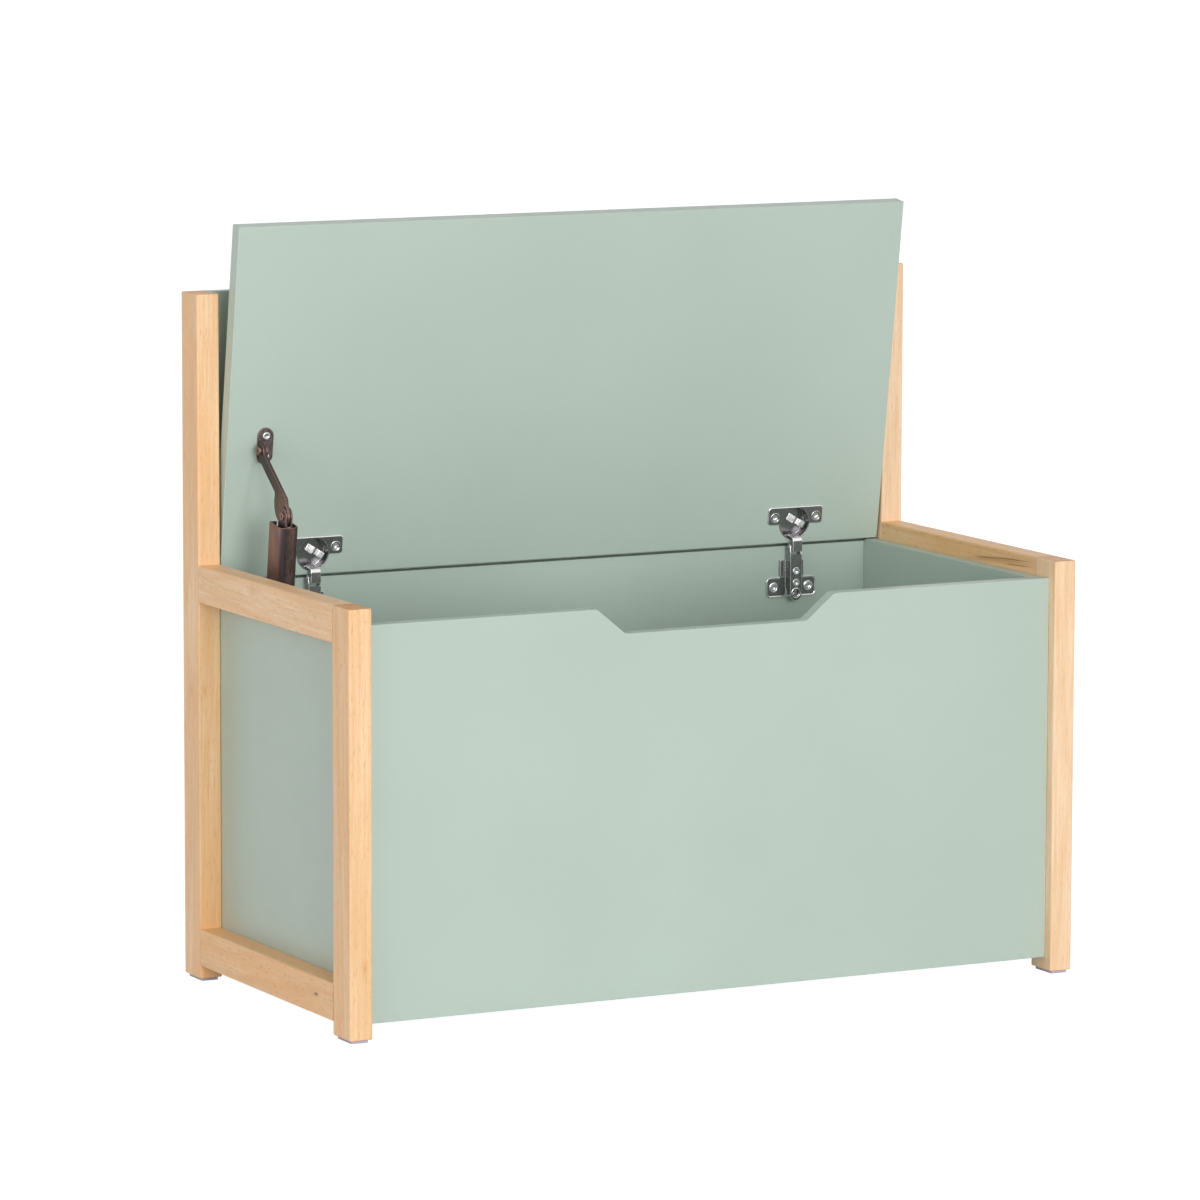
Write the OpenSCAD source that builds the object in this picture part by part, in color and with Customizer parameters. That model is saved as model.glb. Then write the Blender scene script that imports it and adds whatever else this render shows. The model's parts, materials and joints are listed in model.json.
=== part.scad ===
// Toy box bench: two timber side frames, painted board panels, a lifting lid on
// concealed cup hinges and a folding spring-loaded lid stay.
// X runs to the right, Y to the back and Z up. The origin is on the floor, under
// the middle of the footprint. The lid is drawn open, at the stop of its travel.

/* [Overall] */
// Width over the two side frames
bench_w = 800; // [640:1:1100]
// Depth over the posts
bench_d = 385; // [350:1:450]
// Height to the top of the front posts and arm rails
arm_h = 417.5; // [390:0.5:480]
// Height to the top of the back posts and the backrest
back_h = 686; // [620:1:800]

/* [Timber frames] */
// Thickness of posts and rails, across the bench
stock_t = 24; // [20:0.5:32]
// Depth of a post, front to back
post_d = 38; // [32:0.5:46]
// Height of a rail
rail_h = 37; // [30:0.5:44]
// Radius of the timber's edges
timber_r = 1.8; // [0.8:0.1:3]
// Height of the bottom rails' underside above the floor
rail_lift = 16; // [10:0.5:30]
// Thickness of the foot pads
pad_t = 3; // [2:0.5:5]
// How far a foot pad stays inside the post all round
pad_inset = 3; // [1:0.5:5]
// Diameter of the frame dowels
frame_dowel_d = 8; // [6:0.5:10]
// Length of the frame dowels
frame_dowel_len = 36; // [24:1:50]
// Spacing of the two dowels in a rail's end
frame_dowel_gap = 18; // [14:1:20]

/* [Panels] */
// Thickness of the box's own panels
panel_t = 15; // [13:0.5:18]
// Thickness of the backrest board
backrest_t = 12; // [10:0.5:14]
// Thickness of the bottom panel
bottom_t = 15; // [12:0.5:18]
// How far the front panel's face stays behind the posts' front
front_recess = 11; // [6:0.5:16]
// Height of the bottom panel's underside above the panels' lower edge
bottom_lift = 6; // [3:0.5:20]
// How far the backrest board reaches down behind the back panel
backrest_lap = 68; // [50:1:90]
// Depth of the finger notch in the front panel
notch_d = 25.5; // [18:0.5:40]
// Width of the finger notch at its bottom
notch_w = 200; // [120:1:300]
// How much further the notch spreads at each end towards the top
notch_spread = 31; // [20:1:50]
// Radius of the notch's corners
notch_r = 9; // [4:0.5:12]
// Diameter of the panel dowels
panel_dowel_d = 8; // [6:0.5:10]
// Length of the panel dowels
panel_dowel_len = 25; // [20:1:30]
// Diameter of a cam lock's disc
cam_d = 15; // [12:0.5:18]
// Depth of a cam lock's disc
cam_depth = 11.5; // [9:0.5:12]
// Distance of a cam's centre from the joint it pulls tight
cam_reach = 24; // [20:0.5:34]
// Diameter of a cam bolt's shank
cam_bolt_d = 6; // [5:0.5:7]
// Height of the lower cam locks above the panels' lower edge
cam_low_rise = 55; // [40:1:75]
// Distance of the upper cam locks below the panels' top
cam_top_drop = 70; // [50:1:90]
// Height of the lower edge dowels above the panels' lower edge
dowel_low_rise = 110; // [90:1:130]
// Distance of the upper edge dowels below the panels' top
dowel_top_drop = 125; // [105:1:145]
// End backrest dowels' distance from the board's ends
backrest_dowel_in = 35; // [25:1:50]
// Distance of the bottom panel's cam locks from the front and back panels
bottom_cam_in = 70; // [50:1:90]

/* [Lid] */
// Thickness of the lid
lid_t = 16; // [14:0.5:19]
// Gap between the lid's ends and the side frames
lid_end_gap = 2; // [1:0.5:4]
// Depth of the closed lid's top below the arm rails' top
lid_drop = 1.2; // [0.5:0.1:3]
// Gap between the closed lid and the panels under it
lid_gap = 0.6; // [0.4:0.1:2]
// How far the lid stands proud of the front panel
lid_lip = 0.5; // [0:0.1:5]
// Radius of the lid's edges
lid_r = 1; // [0.5:0.1:2]
// Angle of the open lid from closed
open_angle = 81.9; // [70:0.1:88]
// Room that the lid keeps to the boards behind and under it while it swings
swing_gap = 0.4; // [0.3:0.1:2]

/* [Cup hinges] */
// Distance of a hinge's centre line from the lid's end
hinge_inset = 100; // [90:1:150]
// Diameter of the cup's bore in the lid
cup_d = 35; // [34:0.5:36]
// Depth of the cup's bore
cup_depth = 12.2; // [11.8:0.1:12.5]
// Distance of the cup's centre from the lid's back edge
cup_edge = 21.2; // [20.8:0.1:22]
// Thickness of the cup's sheet steel
cup_wall = 0.6; // [0.4:0.1:0.8]
// Length of the cup's screw flange
flange_w = 64; // [60:1:68]
// Width of the screw flange
flange_d = 19; // [16:0.5:20]
// Thickness of the screw flange
flange_t = 1.6; // [1:0.1:2]
// Thickness of the cup's rim on the lid
rim_t = 0.4; // [0.3:0.1:0.8]
// Distance of the flange's screws from the lid's back edge
cup_screw_edge = 28; // [27:0.5:30]
// Spacing of the two cup screws
cup_screw_gap = 48; // [45:0.5:52]
// Distance of the lid's swing centre from its back edge
pole_in = 6.9; // [6.7:0.1:7.2]
// Height of the lid's swing centre above its underside
pole_up = 8.5; // [8:0.1:9]
// Distance of the link's cup pin from the swing centre
cup_pin_drop = 3.4; // [3:0.1:4]
// Distance of the link's arm pin from the swing centre
arm_pin_reach = 15.5; // [14.5:0.1:16.5]
// Width of the bent link
link_w = 10.8; // [8:0.1:11]
// Thickness of the bent link
link_t = 2; // [1.6:0.1:2.2]
// How far the link's face stands in front of the arm's pin
link_front = 7.6; // [6.5:0.1:8]
// How far the link's face reaches below the arm's pin
link_tail = 4.6; // [3:0.1:5.5]
// Diameter of the hinge pins
hinge_pin_d = 2; // [1.6:0.1:2.2]
// Width of the hinge arm over its side flanges
arm_w = 13.5; // [12.5:0.5:16]
// Length of the hinge arm below its pin
arm_len = 56; // [50:1:70]
// Thickness of the arm's and the mounting plate's steel
arm_t = 1.2; // [1:0.1:1.6]
// Width of the mounting plate over its wings
wing_w = 58; // [52:1:66]
// Height of the mounting plate's wings
wing_h = 20.6; // [18:0.1:26]
// Spacing of the mounting plate's screws
wing_screw_gap = 40.5; // [36:0.5:44]
// Height of the mounting plate's tab above its wings
tab_h = 18; // [12:0.5:20]
// Width of the mounting plate's tab
tab_w = 28; // [26:0.5:32]
// Diameter of the open hole at the arm's lower end
key_d = 9; // [7:0.1:9.4]
// Spacing of the arm's adjusting screws
adjust_gap = 12; // [10:0.5:14]
// Diameter of the adjusting screws' heads
adjust_d = 6.4; // [5.6:0.1:7]
// Length of the adjusting screws
adjust_len = 7; // [6:0.5:8]

/* [Lid stay] */
// Distance of the stay's centre plane from the side panel's face
stay_off = 18.5; // [17:0.5:24]
// Height of the foot pivot below the lid's swing centre
foot_drop = 52.6; // [50:0.1:56]
// Distance of the foot pivot in front of the lid's swing centre
foot_front = 72.5; // [70:0.1:75]
// Distance along the tube from the elbow to the foot pivot
tube_reach = 118.5; // [117:0.5:121]
// How far the foot pivot lies behind the elbow, across the tube
foot_back = 7.5; // [6:0.5:7.5]
// Width of the tube
tube_w = 21; // [19:0.5:23]
// Depth of the tube
tube_d = 25.5; // [23:0.5:27]
// Distance of the elbow behind the tube's front face
elbow_set = 11.4; // [10.5:0.1:12]
// Wall of the tube
tube_wall = 1.5; // [1:0.1:2]
// Radius of the tube's front corners
tube_r = 6; // [4:0.5:7]
// Distance from the elbow down to the tube's rim at the front
rim_drop = 9.4; // [9:0.1:13]
// How much higher the rim stands at the back
rim_rise = 1.5; // [0:0.1:3]
// Length of the tube below its foot pivot
tube_tail = 12; // [10:0.5:16]
// Length of the arm between its pivots
stay_arm_len = 80.5; // [79.5:0.1:82]
// Width of the arm's bar
stay_arm_w = 12.4; // [10:0.2:14]
// How far the bar's lower end stands in front of the line between the pivots
stay_arm_bend = 6.5; // [2:0.5:8]
// Thickness of the arm
stay_arm_t = 3; // [2:0.1:3.2]
// Distance of the upper pivot from the lid's back edge
stay_lid_edge = 134; // [132:0.5:138]
// Distance of the upper pivot from the lid's underside
stay_lid_off = 13.5; // [12:0.5:15]
// Radius of the cam where it meets the plunger with the lid open
cam_low = 8.4; // [7.6:0.1:8.8]
// Growth of the cam's radius for each radian that it turns
cam_rise = 10.5; // [7:0.1:10.6]
// Diameter of the elbow rivet
elbow_d = 5; // [4:0.5:6]
// Diameter of the foot rivet
foot_d = 5.5; // [4.5:0.1:5.6]
// Diameter of the spring's wire
wire_d = 1.6; // [1.2:0.1:2]
// Diameter of the spring at the middle of its wire
spring_d = 9.2; // [8:0.2:10]
// Number of turns in the spring
spring_turns = 15; // [8:1:18]
// Width of the lid bracket
bracket_w = 17; // [15:0.5:20]
// Length of the lid bracket
bracket_len = 36.5; // [33:0.5:40]
// Spacing of the lid bracket's screws
bracket_screw_gap = 21; // [19:0.5:23]
// Thickness of the two brackets
bracket_t = 2; // [1.6:0.1:2.5]
// Width of the side bracket
side_bracket_w = 24; // [20:0.5:30]
// Length of the side bracket
side_bracket_len = 70; // [60:1:80]
// Diameter of the hole in the stay's hollow rivets
eyelet_d = 3; // [2:0.1:3.4]

/* [Hidden] */
$fn = 48;

timber = [0.97, 0.82, 0.62];
green = [0.74, 0.81, 0.76];
nickel = [0.74, 0.74, 0.75];
bronze = [0.30, 0.22, 0.19];
pad_grey = [0.25, 0.25, 0.26];
zinc = [0.66, 0.67, 0.69];
beech = [0.88, 0.76, 0.58];

// Clearances: seated pieces, running pins, and the skin of a blind hole's end
seat = 0.3;
run = 0.05;
fit = 0.1;
sides = [-1, 1];
eps = 0.01;

// Timber frame
inner_x = bench_w / 2 - stock_t;
front_y = -bench_d / 2;
back_y = bench_d / 2;
rail_y = back_y - post_d;
post_mid_y = back_y - post_d / 2;

// Box: the faces that the panels share
side_face_x = inner_x - panel_t;
front_face_y = front_y + front_recess;
front_back_y = front_face_y + panel_t;
backrest_y = back_y - backrest_t;
back_face_y = backrest_y - panel_t;
panel_low = rail_lift;

// Lid, closed
lid_under = arm_h - lid_drop - lid_t;
panel_top = lid_under - lid_gap;
lid_x = inner_x - lid_end_gap;
low_corner = norm([pole_in, pole_up]);
top_corner = norm([pole_in, lid_t - pole_up]);
pole = [backrest_y - swing_gap - 1.9 - top_corner, lid_under + pole_up];
lid_back_y = pole.x + pole_in;
lid_front_y = front_face_y - lid_lip;
back_panel_top = pole.y - low_corner - swing_gap;
bottom_z = panel_low + bottom_lift;

// Hinges. Points in a side view are [y, z] pairs.
hinge_x = lid_x - hinge_inset;
cup_y = lid_back_y - cup_edge;
cup_r = cup_d / 2 - 0.2;
cup_in_r = cup_r - cup_wall;
cup_screw_y = lid_back_y - cup_screw_edge;
cup_head_r = 3.4;
flange_y = cup_screw_y - 1.6;
cup_pin_angle = 267.7;
cup_pin = pole + cup_pin_drop * [cos(cup_pin_angle), sin(cup_pin_angle)];
cup_pin_open = opened(cup_pin);
arm_pin_angle = cup_pin_angle - open_angle / 2;
arm_pin = pole + arm_pin_reach * [cos(arm_pin_angle), sin(arm_pin_angle)];
pin_r = hinge_pin_d / 2;
arm_face_y = arm_pin.x - 4.5;
arm_low = arm_pin.y - arm_len;
plate_y = back_face_y - 2;
wing_z = arm_low + 13.3;
key_r = key_d / 2;
key_z = arm_low + arm_w / 2 + 1.2;

// Stay: side view points, with the lid open and closed
stay_x = -(side_face_x - stay_off);
foot = pole - [foot_front, foot_drop];
upper = opened([lid_back_y - stay_lid_edge, lid_under - stay_lid_off]);
upper_shut = [lid_back_y - stay_lid_edge, lid_under - stay_lid_off];
tube_len = norm([foot_back, tube_reach]);
elbow = meet(foot, tube_len, upper, stay_arm_len);
elbow_shut = meet(foot, tube_len, upper_shut, stay_arm_len);
tube_lean = heading(foot - elbow) - heading([foot_back, -tube_reach]);
arm_rise = heading(upper - elbow);
tube_turn = wrap(heading(elbow_shut - foot) - heading(elbow - foot));
arm_turn = wrap(heading(upper_shut - elbow_shut) - heading(upper - elbow) - tube_turn);
arm_turn_rad = abs(arm_turn) * PI / 180;
// The tube's section, measured from the elbow: y across, z along
tube_front = -elbow_set;
tube_back = tube_d - elbow_set;
tube_mid = (tube_front + tube_back) / 2;
in_w = tube_w - 2 * tube_wall;
tube_end = -(tube_reach + tube_tail);
shelf_z = -22;
leg_h = 12;
plunger_top = -cam_low - seat;
plunger_end = shelf_z - seat - 12;
seat_top = -(tube_reach - 20);
ear_in = stay_arm_t / 2 + 0.5;
ear_t = 1.6;
ear_r = elbow_set - tube_wall - 1;
ear_out = ear_in + ear_t;
bracket_x = stay_x + stay_arm_t / 2 + 0.5;

// Turn a side view point about the pole, from the closed lid to the open one
function turn(p, a) = [p.x * cos(a) - p.y * sin(a), p.x * sin(a) + p.y * cos(a)];
function opened(p) = pole + turn(p - pole, -open_angle);
function heading(v) = atan2(v.y, v.x);
function wrap(a) = a > 180 ? a - 360 : a < -180 ? a + 360 : a;
// The front one of the two points at distance ra from a and rb from b
function meet(a, ra, b, rb) =
    let (d = norm(b - a), u = (b - a) / d, s = (ra * ra - rb * rb + d * d) / (2 * d))
    a + s * u + sqrt(ra * ra - s * s) * [-u.y, u.x];
// Points of an arc that rounds the corner b between a and c
function corner(a, b, c, r, steps = 6) =
    let (
        u = (a - b) / norm(a - b), v = (c - b) / norm(c - b),
        half = acos(u * v) / 2, m = b + (u + v) / norm(u + v) * r / sin(half),
        p = b + u * r / tan(half) - m, q = b + v * r / tan(half) - m,
        spin = cross(p, q) > 0 ? 1 : -1
    )
    [for (i = [0:steps]) m + turn(p, spin * (180 - 2 * half) * i / steps)];
function bezier(a, b, c, t) = (1 - t) * (1 - t) * a + 2 * t * (1 - t) * b + t * t * c;
function normal2(v) = [-v.y, v.x] / norm(v);

echo(pole = pole, arm_pin = arm_pin, cup_pin_open = cup_pin_open);
echo(foot = foot, elbow = elbow, upper = upper, tube_lean = tube_lean, arm_rise = arm_rise);
echo(tube_turn = tube_turn, arm_turn = arm_turn, plunge = cam_rise * arm_turn_rad);
echo(link_turn = heading(cup_pin - arm_pin) - heading(cup_pin_open - arm_pin));

// Plain helpers

module block(lo, hi) {
    translate(lo) cube(hi - lo);
}

module round_rect(w, h, r) {
    translate([r, 0]) square([w - 2 * r, h]);
    translate([0, r]) square([w, h - 2 * r]);
    for (x = [r, w - r], y = [r, h - r]) translate([x, y]) circle(r);
}

// A slot or rounded strip from a to b
module capsule(a, b, r) {
    n = normal2(b - a) * r;
    for (p = [a, b]) translate(p) circle(r);
    polygon([a + n, b + n, b - n, a - n]);
}

// A block with every edge rounded, as three crossed extrusions
module soft_block(lo, hi, r) {
    s = hi - lo;
    translate(lo) intersection() {
        linear_extrude(s.z) round_rect(s.x, s.y, r);
        translate([0, s.y, 0]) rotate([90, 0, 0]) linear_extrude(s.y) round_rect(s.x, s.z, r);
        rotate([90, 0, 90]) linear_extrude(s.x) round_rect(s.y, s.z, r);
    }
}

// A bar along Y with its four long edges rounded
module bar_y(lo, hi, r) {
    s = hi - lo;
    translate([lo.x, hi.y, lo.z]) rotate([90, 0, 0]) linear_extrude(s.y) round_rect(s.x, s.z, r);
}

// Cylinders from a point along +X, +Y or +Z; a negative length runs the other way
module rod_x(p, r, len) {
    translate([len < 0 ? p.x + len : p.x, p.y, p.z]) rotate([0, 90, 0])
        cylinder(r = r, h = abs(len));
}
module rod_y(p, r, len) {
    translate([p.x, len < 0 ? p.y : p.y + len, p.z]) rotate([90, 0, 0])
        cylinder(r = r, h = abs(len));
}
module rod_z(p, r, len) {
    translate([p.x, p.y, len < 0 ? p.z + len : p.z]) cylinder(r = r, h = abs(len));
}

// A side view profile, given in [y, z], extruded along X from x0 by w
module side_plate(x0, w) {
    translate([x0, 0, 0]) rotate([90, 0, 90]) linear_extrude(w) children();
}

// A piece drawn on the closed lid, shown with the lid open
module on_lid() {
    translate([0, pole.x, pole.y]) rotate([-open_angle, 0, 0])
        translate([0, -pole.x, -pole.y]) children();
}

// Where the fasteners lie

function rail_mids() = [rail_lift + rail_h / 2, arm_h - rail_h / 2];
function cam_heights() = [panel_low + cam_low_rise, panel_top - cam_top_drop];
function dowel_heights() = [panel_low + dowel_low_rise, panel_top - dowel_top_drop];
bottom_cam_ys = [front_back_y + bottom_cam_in, back_face_y - bottom_cam_in];
bottom_mid_z = bottom_z + bottom_t / 2;
front_mid_y = front_face_y + panel_t / 2;
back_mid_y = back_face_y + panel_t / 2;
side_dowel_ys = [-90, 90] * bench_d / 385;
side_dowel_zs = [rail_mids()[0], panel_top - 10];
backrest_dowel_zs = [arm_h + backrest_dowel_in, (arm_h + back_h) / 2, back_h - backrest_dowel_in];
backrest_screw_xs = [for (i = [-2:2]) i * inner_x * 0.44];
backrest_screw_z = back_panel_top - backrest_lap / 2;
bolt_bite = 11;
panel_bite = 9;
backrest_bite = 14;

// Rail end dowels: along Y, at both ends of every rail
module frame_dowel_set(r, extra) {
    for (s = sides, y = [-rail_y, rail_y], z = rail_mids(), o = sides)
        rod_y([s * (inner_x + stock_t / 2), y - frame_dowel_len / 2 - extra,
               z + o * frame_dowel_gap / 2], r, frame_dowel_len + 2 * extra);
}

// Dowels between the side panels and the front and back panels, along Y
module edge_dowel_set(r, extra) {
    for (s = sides, z = dowel_heights()) {
        rod_y([s * (inner_x - panel_t / 2), front_back_y - panel_bite - extra, z],
              r, panel_dowel_len + 2 * extra);
        rod_y([s * (inner_x - panel_t / 2), back_face_y + panel_bite + extra, z],
              r, -(panel_dowel_len + 2 * extra));
    }
}

// Dowels between the side panels and the rails, along X
module side_dowel_set(r, extra) {
    for (s = sides, y = side_dowel_ys, z = side_dowel_zs)
        rod_x([s * (inner_x - panel_bite - extra), y, z], r, s * (panel_dowel_len + 2 * extra));
}

// Dowels between the backrest board's ends and the back posts, along X
module backrest_dowel_set(r, extra) {
    for (s = sides, z = backrest_dowel_zs)
        rod_x([s * (inner_x - backrest_bite - extra), backrest_y + backrest_t / 2, z],
              r, s * (panel_dowel_len + 2 * extra));
}

backrest_dowel_r = panel_dowel_d / 2 - 1;

module panel_dowel_holes() {
    edge_dowel_set(panel_dowel_d / 2 + fit, seat);
    side_dowel_set(panel_dowel_d / 2 + fit, seat);
    backrest_dowel_set(backrest_dowel_r + fit, seat);
}

// A cam bolt: its thread sits in the piece beyond the joint, its head in the cam
module cam_bolt(r) {
    rod_x([-bolt_bite, 0, 0], r - 0.5, bolt_bite);
    rod_x([0, 0, 0], r, cam_reach - 7);
    rod_x([cam_reach - 7, 0, 0], r - 1.2, 5.5);
    rod_x([cam_reach - 1.5, 0, 0], r, 3);
}

// Measures X from a side frame's inner face towards the middle of the bench
module inward(s) {
    translate([s * inner_x, 0, 0]) mirror([s > 0 ? 1 : 0, 0, 0]) children();
}

// Runs its children at every cam lock, with X leading inwards from the joint
// and Z pointing out of the cam's mouth
module at_cams() {
    for (s = sides, z = cam_heights()) {
        inward(s) translate([0, front_mid_y, z]) rotate([-90, 0, 0]) children();
        inward(s) translate([0, back_mid_y, z]) rotate([90, 0, 0]) children();
    }
    at_bottom_cams() children();
}

module at_bottom_cams() {
    for (s = sides, y = bottom_cam_ys)
        inward(s) translate([panel_t, y, bottom_mid_z]) rotate([180, 0, 0]) children();
}

module cam_cuts() {
    at_cams() {
        rod_x([-bolt_bite - seat, 0, 0], cam_bolt_d / 2 - 0.5 + fit, bolt_bite + seat + eps);
        rod_x([0, 0, 0], cam_bolt_d / 2 + 0.5, cam_reach);
        rod_z([cam_reach, 0, panel_t / 2 - cam_depth - seat], cam_d / 2 + fit, cam_depth + seat + eps);
    }
}

// Timber frame

module post(s, front, top) {
    x0 = s > 0 ? inner_x : -bench_w / 2;
    y0 = front ? front_y : rail_y;
    color(timber) difference() {
        soft_block([x0, y0, pad_t], [x0 + stock_t, y0 + post_d, top], timber_r);
        frame_dowel_set(frame_dowel_d / 2 + fit, seat);
        panel_dowel_holes();
        cam_cuts();
    }
}

module left_front_post() { post(-1, true, arm_h); }
module right_front_post() { post(1, true, arm_h); }
module left_back_post() { post(-1, false, back_h); }
module right_back_post() { post(1, false, back_h); }

module rail(s, z0) {
    x0 = s > 0 ? inner_x : -bench_w / 2;
    color(timber) difference() {
        bar_y([x0, -rail_y, z0], [x0 + stock_t, rail_y, z0 + rail_h], timber_r);
        frame_dowel_set(frame_dowel_d / 2 + fit, seat);
        panel_dowel_holes();
    }
}

module left_arm_rail() { rail(-1, arm_h - rail_h); }
module right_arm_rail() { rail(1, arm_h - rail_h); }
module left_bottom_rail() { rail(-1, rail_lift); }
module right_bottom_rail() { rail(1, rail_lift); }

module frame_dowels() {
    color(beech) frame_dowel_set(frame_dowel_d / 2, 0);
}

module foot_pads() {
    color(pad_grey) for (s = sides, y = [front_y, rail_y])
        translate([s > 0 ? inner_x + pad_inset : -bench_w / 2 + pad_inset, y + pad_inset, 0])
            linear_extrude(pad_t) round_rect(stock_t - 2 * pad_inset, post_d - 2 * pad_inset, 2);
}

// Box panels

// A side panel; its top back corner is relieved for the lid's swinging edge
module side_panel(s) {
    x0 = s > 0 ? side_face_x : -inner_x;
    color(green) difference() {
        block([x0, front_back_y, panel_low], [x0 + panel_t, back_face_y, panel_top]);
        panel_dowel_holes();
        cam_cuts();
        if (s < 0) side_screw_cuts();
        rod_x([-bench_w / 2, pole.x, pole.y], low_corner + swing_gap, bench_w);
    }
}

module left_side_panel() { side_panel(-1); }
module right_side_panel() { side_panel(1); }

// Front panel outline in [x, z], with the finger notch in its top edge
function notch_half(s) = let (
    top = [s * (notch_w / 2 + notch_spread), panel_top],
    low = [s * notch_w / 2, panel_top - notch_d]
) concat(
    corner([s * inner_x, panel_top], top, low, notch_r),
    corner(top, low, [0, low.y], notch_r)
);
function reversed(list) = [for (i = [len(list) - 1:-1:0]) list[i]];

module front_panel() {
    color(green) difference() {
        translate([0, front_back_y, 0]) rotate([90, 0, 0]) linear_extrude(panel_t) polygon(concat(
            [[-inner_x, panel_low], [-inner_x, panel_top]], notch_half(-1),
            reversed(notch_half(1)), [[inner_x, panel_top], [inner_x, panel_low]]
        ));
        panel_dowel_holes();
        cam_cuts();
    }
}

module back_panel() {
    color(green) difference() {
        block([-inner_x, back_face_y, panel_low], [inner_x, backrest_y, back_panel_top]);
        panel_dowel_holes();
        cam_cuts();
        backrest_screw_cuts();
        plate_screw_cuts();
    }
}

module bottom_panel() {
    color(green) difference() {
        block([-side_face_x, front_back_y, bottom_z], [side_face_x, back_face_y, bottom_z + bottom_t]);
        at_bottom_cams() {
            rod_x([0, 0, 0], cam_bolt_d / 2 + 0.5, cam_reach);
            rod_z([cam_reach, 0, bottom_t / 2 - cam_depth - seat], cam_d / 2 + fit, cam_depth + seat + eps);
        }
    }
}

module backrest_panel() {
    color(green) difference() {
        soft_block([-inner_x, backrest_y, back_panel_top - backrest_lap], [inner_x, back_y, back_h], lid_r);
        panel_dowel_holes();
        backrest_screw_cuts();
    }
}

module panel_dowels() {
    color(beech) {
        edge_dowel_set(panel_dowel_d / 2, 0);
        side_dowel_set(panel_dowel_d / 2, 0);
        backrest_dowel_set(backrest_dowel_r, 0);
    }
}

module cam_bolts() {
    color(zinc) at_cams() cam_bolt(cam_bolt_d / 2);
}

// A cam disc with the keyhole that takes its bolt's head
module cam_discs() {
    color(zinc) at_cams() translate([cam_reach, 0, panel_t / 2 - cam_depth]) difference() {
        cylinder(r = cam_d / 2, h = cam_depth);
        translate([0, 0, cam_depth - panel_t / 2]) {
            rod_x([-4, 0, 0], cam_bolt_d / 2 + 0.3, 8);
            rod_x([-cam_d / 2 - 1, 0, 0], cam_bolt_d / 2 + 0.3, cam_d / 2);
        }
        translate([0, 0, cam_depth - 2]) for (a = [0, 90]) rotate([0, 0, a])
            translate([-3.5, -0.6, 0]) cube([7, 1.2, 3]);
    }
}

// Countersunk wood screws that lead along +Y into the wood, from the head's face
module sunk_screw(head_r, shank_r, len) {
    rotate([-90, 0, 0]) {
        cylinder(r1 = head_r, r2 = shank_r, h = head_r - shank_r);
        cylinder(r = shank_r, h = len);
    }
}

backrest_screw_len = backrest_t + panel_t - 5;
module at_backrest_screws() {
    for (x = backrest_screw_xs) translate([x, back_y, backrest_screw_z]) rotate([0, 0, 180]) children();
}
module backrest_screw_cuts() {
    at_backrest_screws() sunk_screw(4 + fit, 2 + fit, backrest_screw_len + seat);
}
module backrest_screws() {
    color(zinc) at_backrest_screws() sunk_screw(4, 2, backrest_screw_len);
}

// Lid

cup_screw_len = lid_t - 4;
module at_cup_screws() {
    for (s = sides, o = sides)
        translate([s * hinge_x + o * cup_screw_gap / 2, cup_screw_y, lid_under - flange_t])
            rotate([90, 0, 0]) children();
}

module lid_panel() {
    color(green) on_lid() difference() {
        soft_block([-lid_x, lid_front_y, lid_under], [lid_x, lid_back_y, lid_under + lid_t], lid_r);
        for (s = sides) rod_z([s * hinge_x, cup_y, lid_under - eps], cup_d / 2, cup_depth + eps);
        at_cup_screws() sunk_screw(cup_head_r + fit, 1.6 + fit, cup_screw_len + seat);
        at_lid_screws() rod_z([0, 0, -1], 1.8 + fit, lid_screw_len + 1 + seat);
    }
}

// Cup hinges: the cup is on the lid, the arm and its plate are on the back panel.
// The cup's rim is cut away where the link comes over it.

notch_x = link_w / 2 + 0.4;
cup_lip = 0.4;
module hinge_cup(s) {
    color(nickel) on_lid() translate([s * hinge_x, 0, 0]) difference() {
        union() {
            rod_z([0, cup_y, lid_under - rim_t], cup_r, cup_depth - 0.4 + rim_t);
            rod_z([0, cup_y, lid_under - rim_t], cup_r + cup_lip, rim_t);
            translate([-flange_w / 2, flange_y - flange_d / 2, lid_under - flange_t])
                linear_extrude(flange_t) round_rect(flange_w, flange_d, 3.5);
        }
        rod_z([0, cup_y, lid_under - flange_t - 1], cup_in_r, cup_depth - 0.4 - cup_wall + flange_t + 1);
        block([-notch_x, cup_pin.x, lid_under - flange_t - 1], [notch_x, lid_back_y, cup_pin.y + 3.5]);
        for (o = sides) translate([o * cup_screw_gap / 2, cup_screw_y, lid_under - flange_t])
            rotate([90, 0, 0]) sunk_screw(cup_head_r + fit, 1.6 + fit, 5);
    }
}

module left_hinge_cup() { hinge_cup(-1); }
module right_hinge_cup() { hinge_cup(1); }

// The bent link: a channel that turns on the arm's pin, with a face that stands in
// front of the pin, bends back over the cup's rim and ends in an eye on the cup's pin
link_play = 1.15;
link_side = 0.2;
link_eye_r = 3;
eye_r = pin_r + 0.75;
eye_in = 1.8;
link_toward = (arm_pin - cup_pin_open) / norm(arm_pin - cup_pin_open);
link_mid_y = arm_pin.x - link_front + link_t / 2;
link_knee = [link_mid_y, cup_pin_open.y - 1.4];
link_low = [link_mid_y, arm_pin.y - link_tail];
module link_strip() {
    path = concat([cup_pin_open], corner(cup_pin_open, link_knee, link_low, 4.5, 8), [link_low]);
    last = len(path) - 1;
    side = [for (i = [0:last]) normal2(path[min(i + 1, last)] - path[max(i - 1, 0)])];
    polygon(concat(
        [for (i = [0:last]) path[i] + side[i] * link_t / 2],
        [for (i = [last:-1:0]) path[i] - side[i] * link_t / 2]
    ));
}

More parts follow.
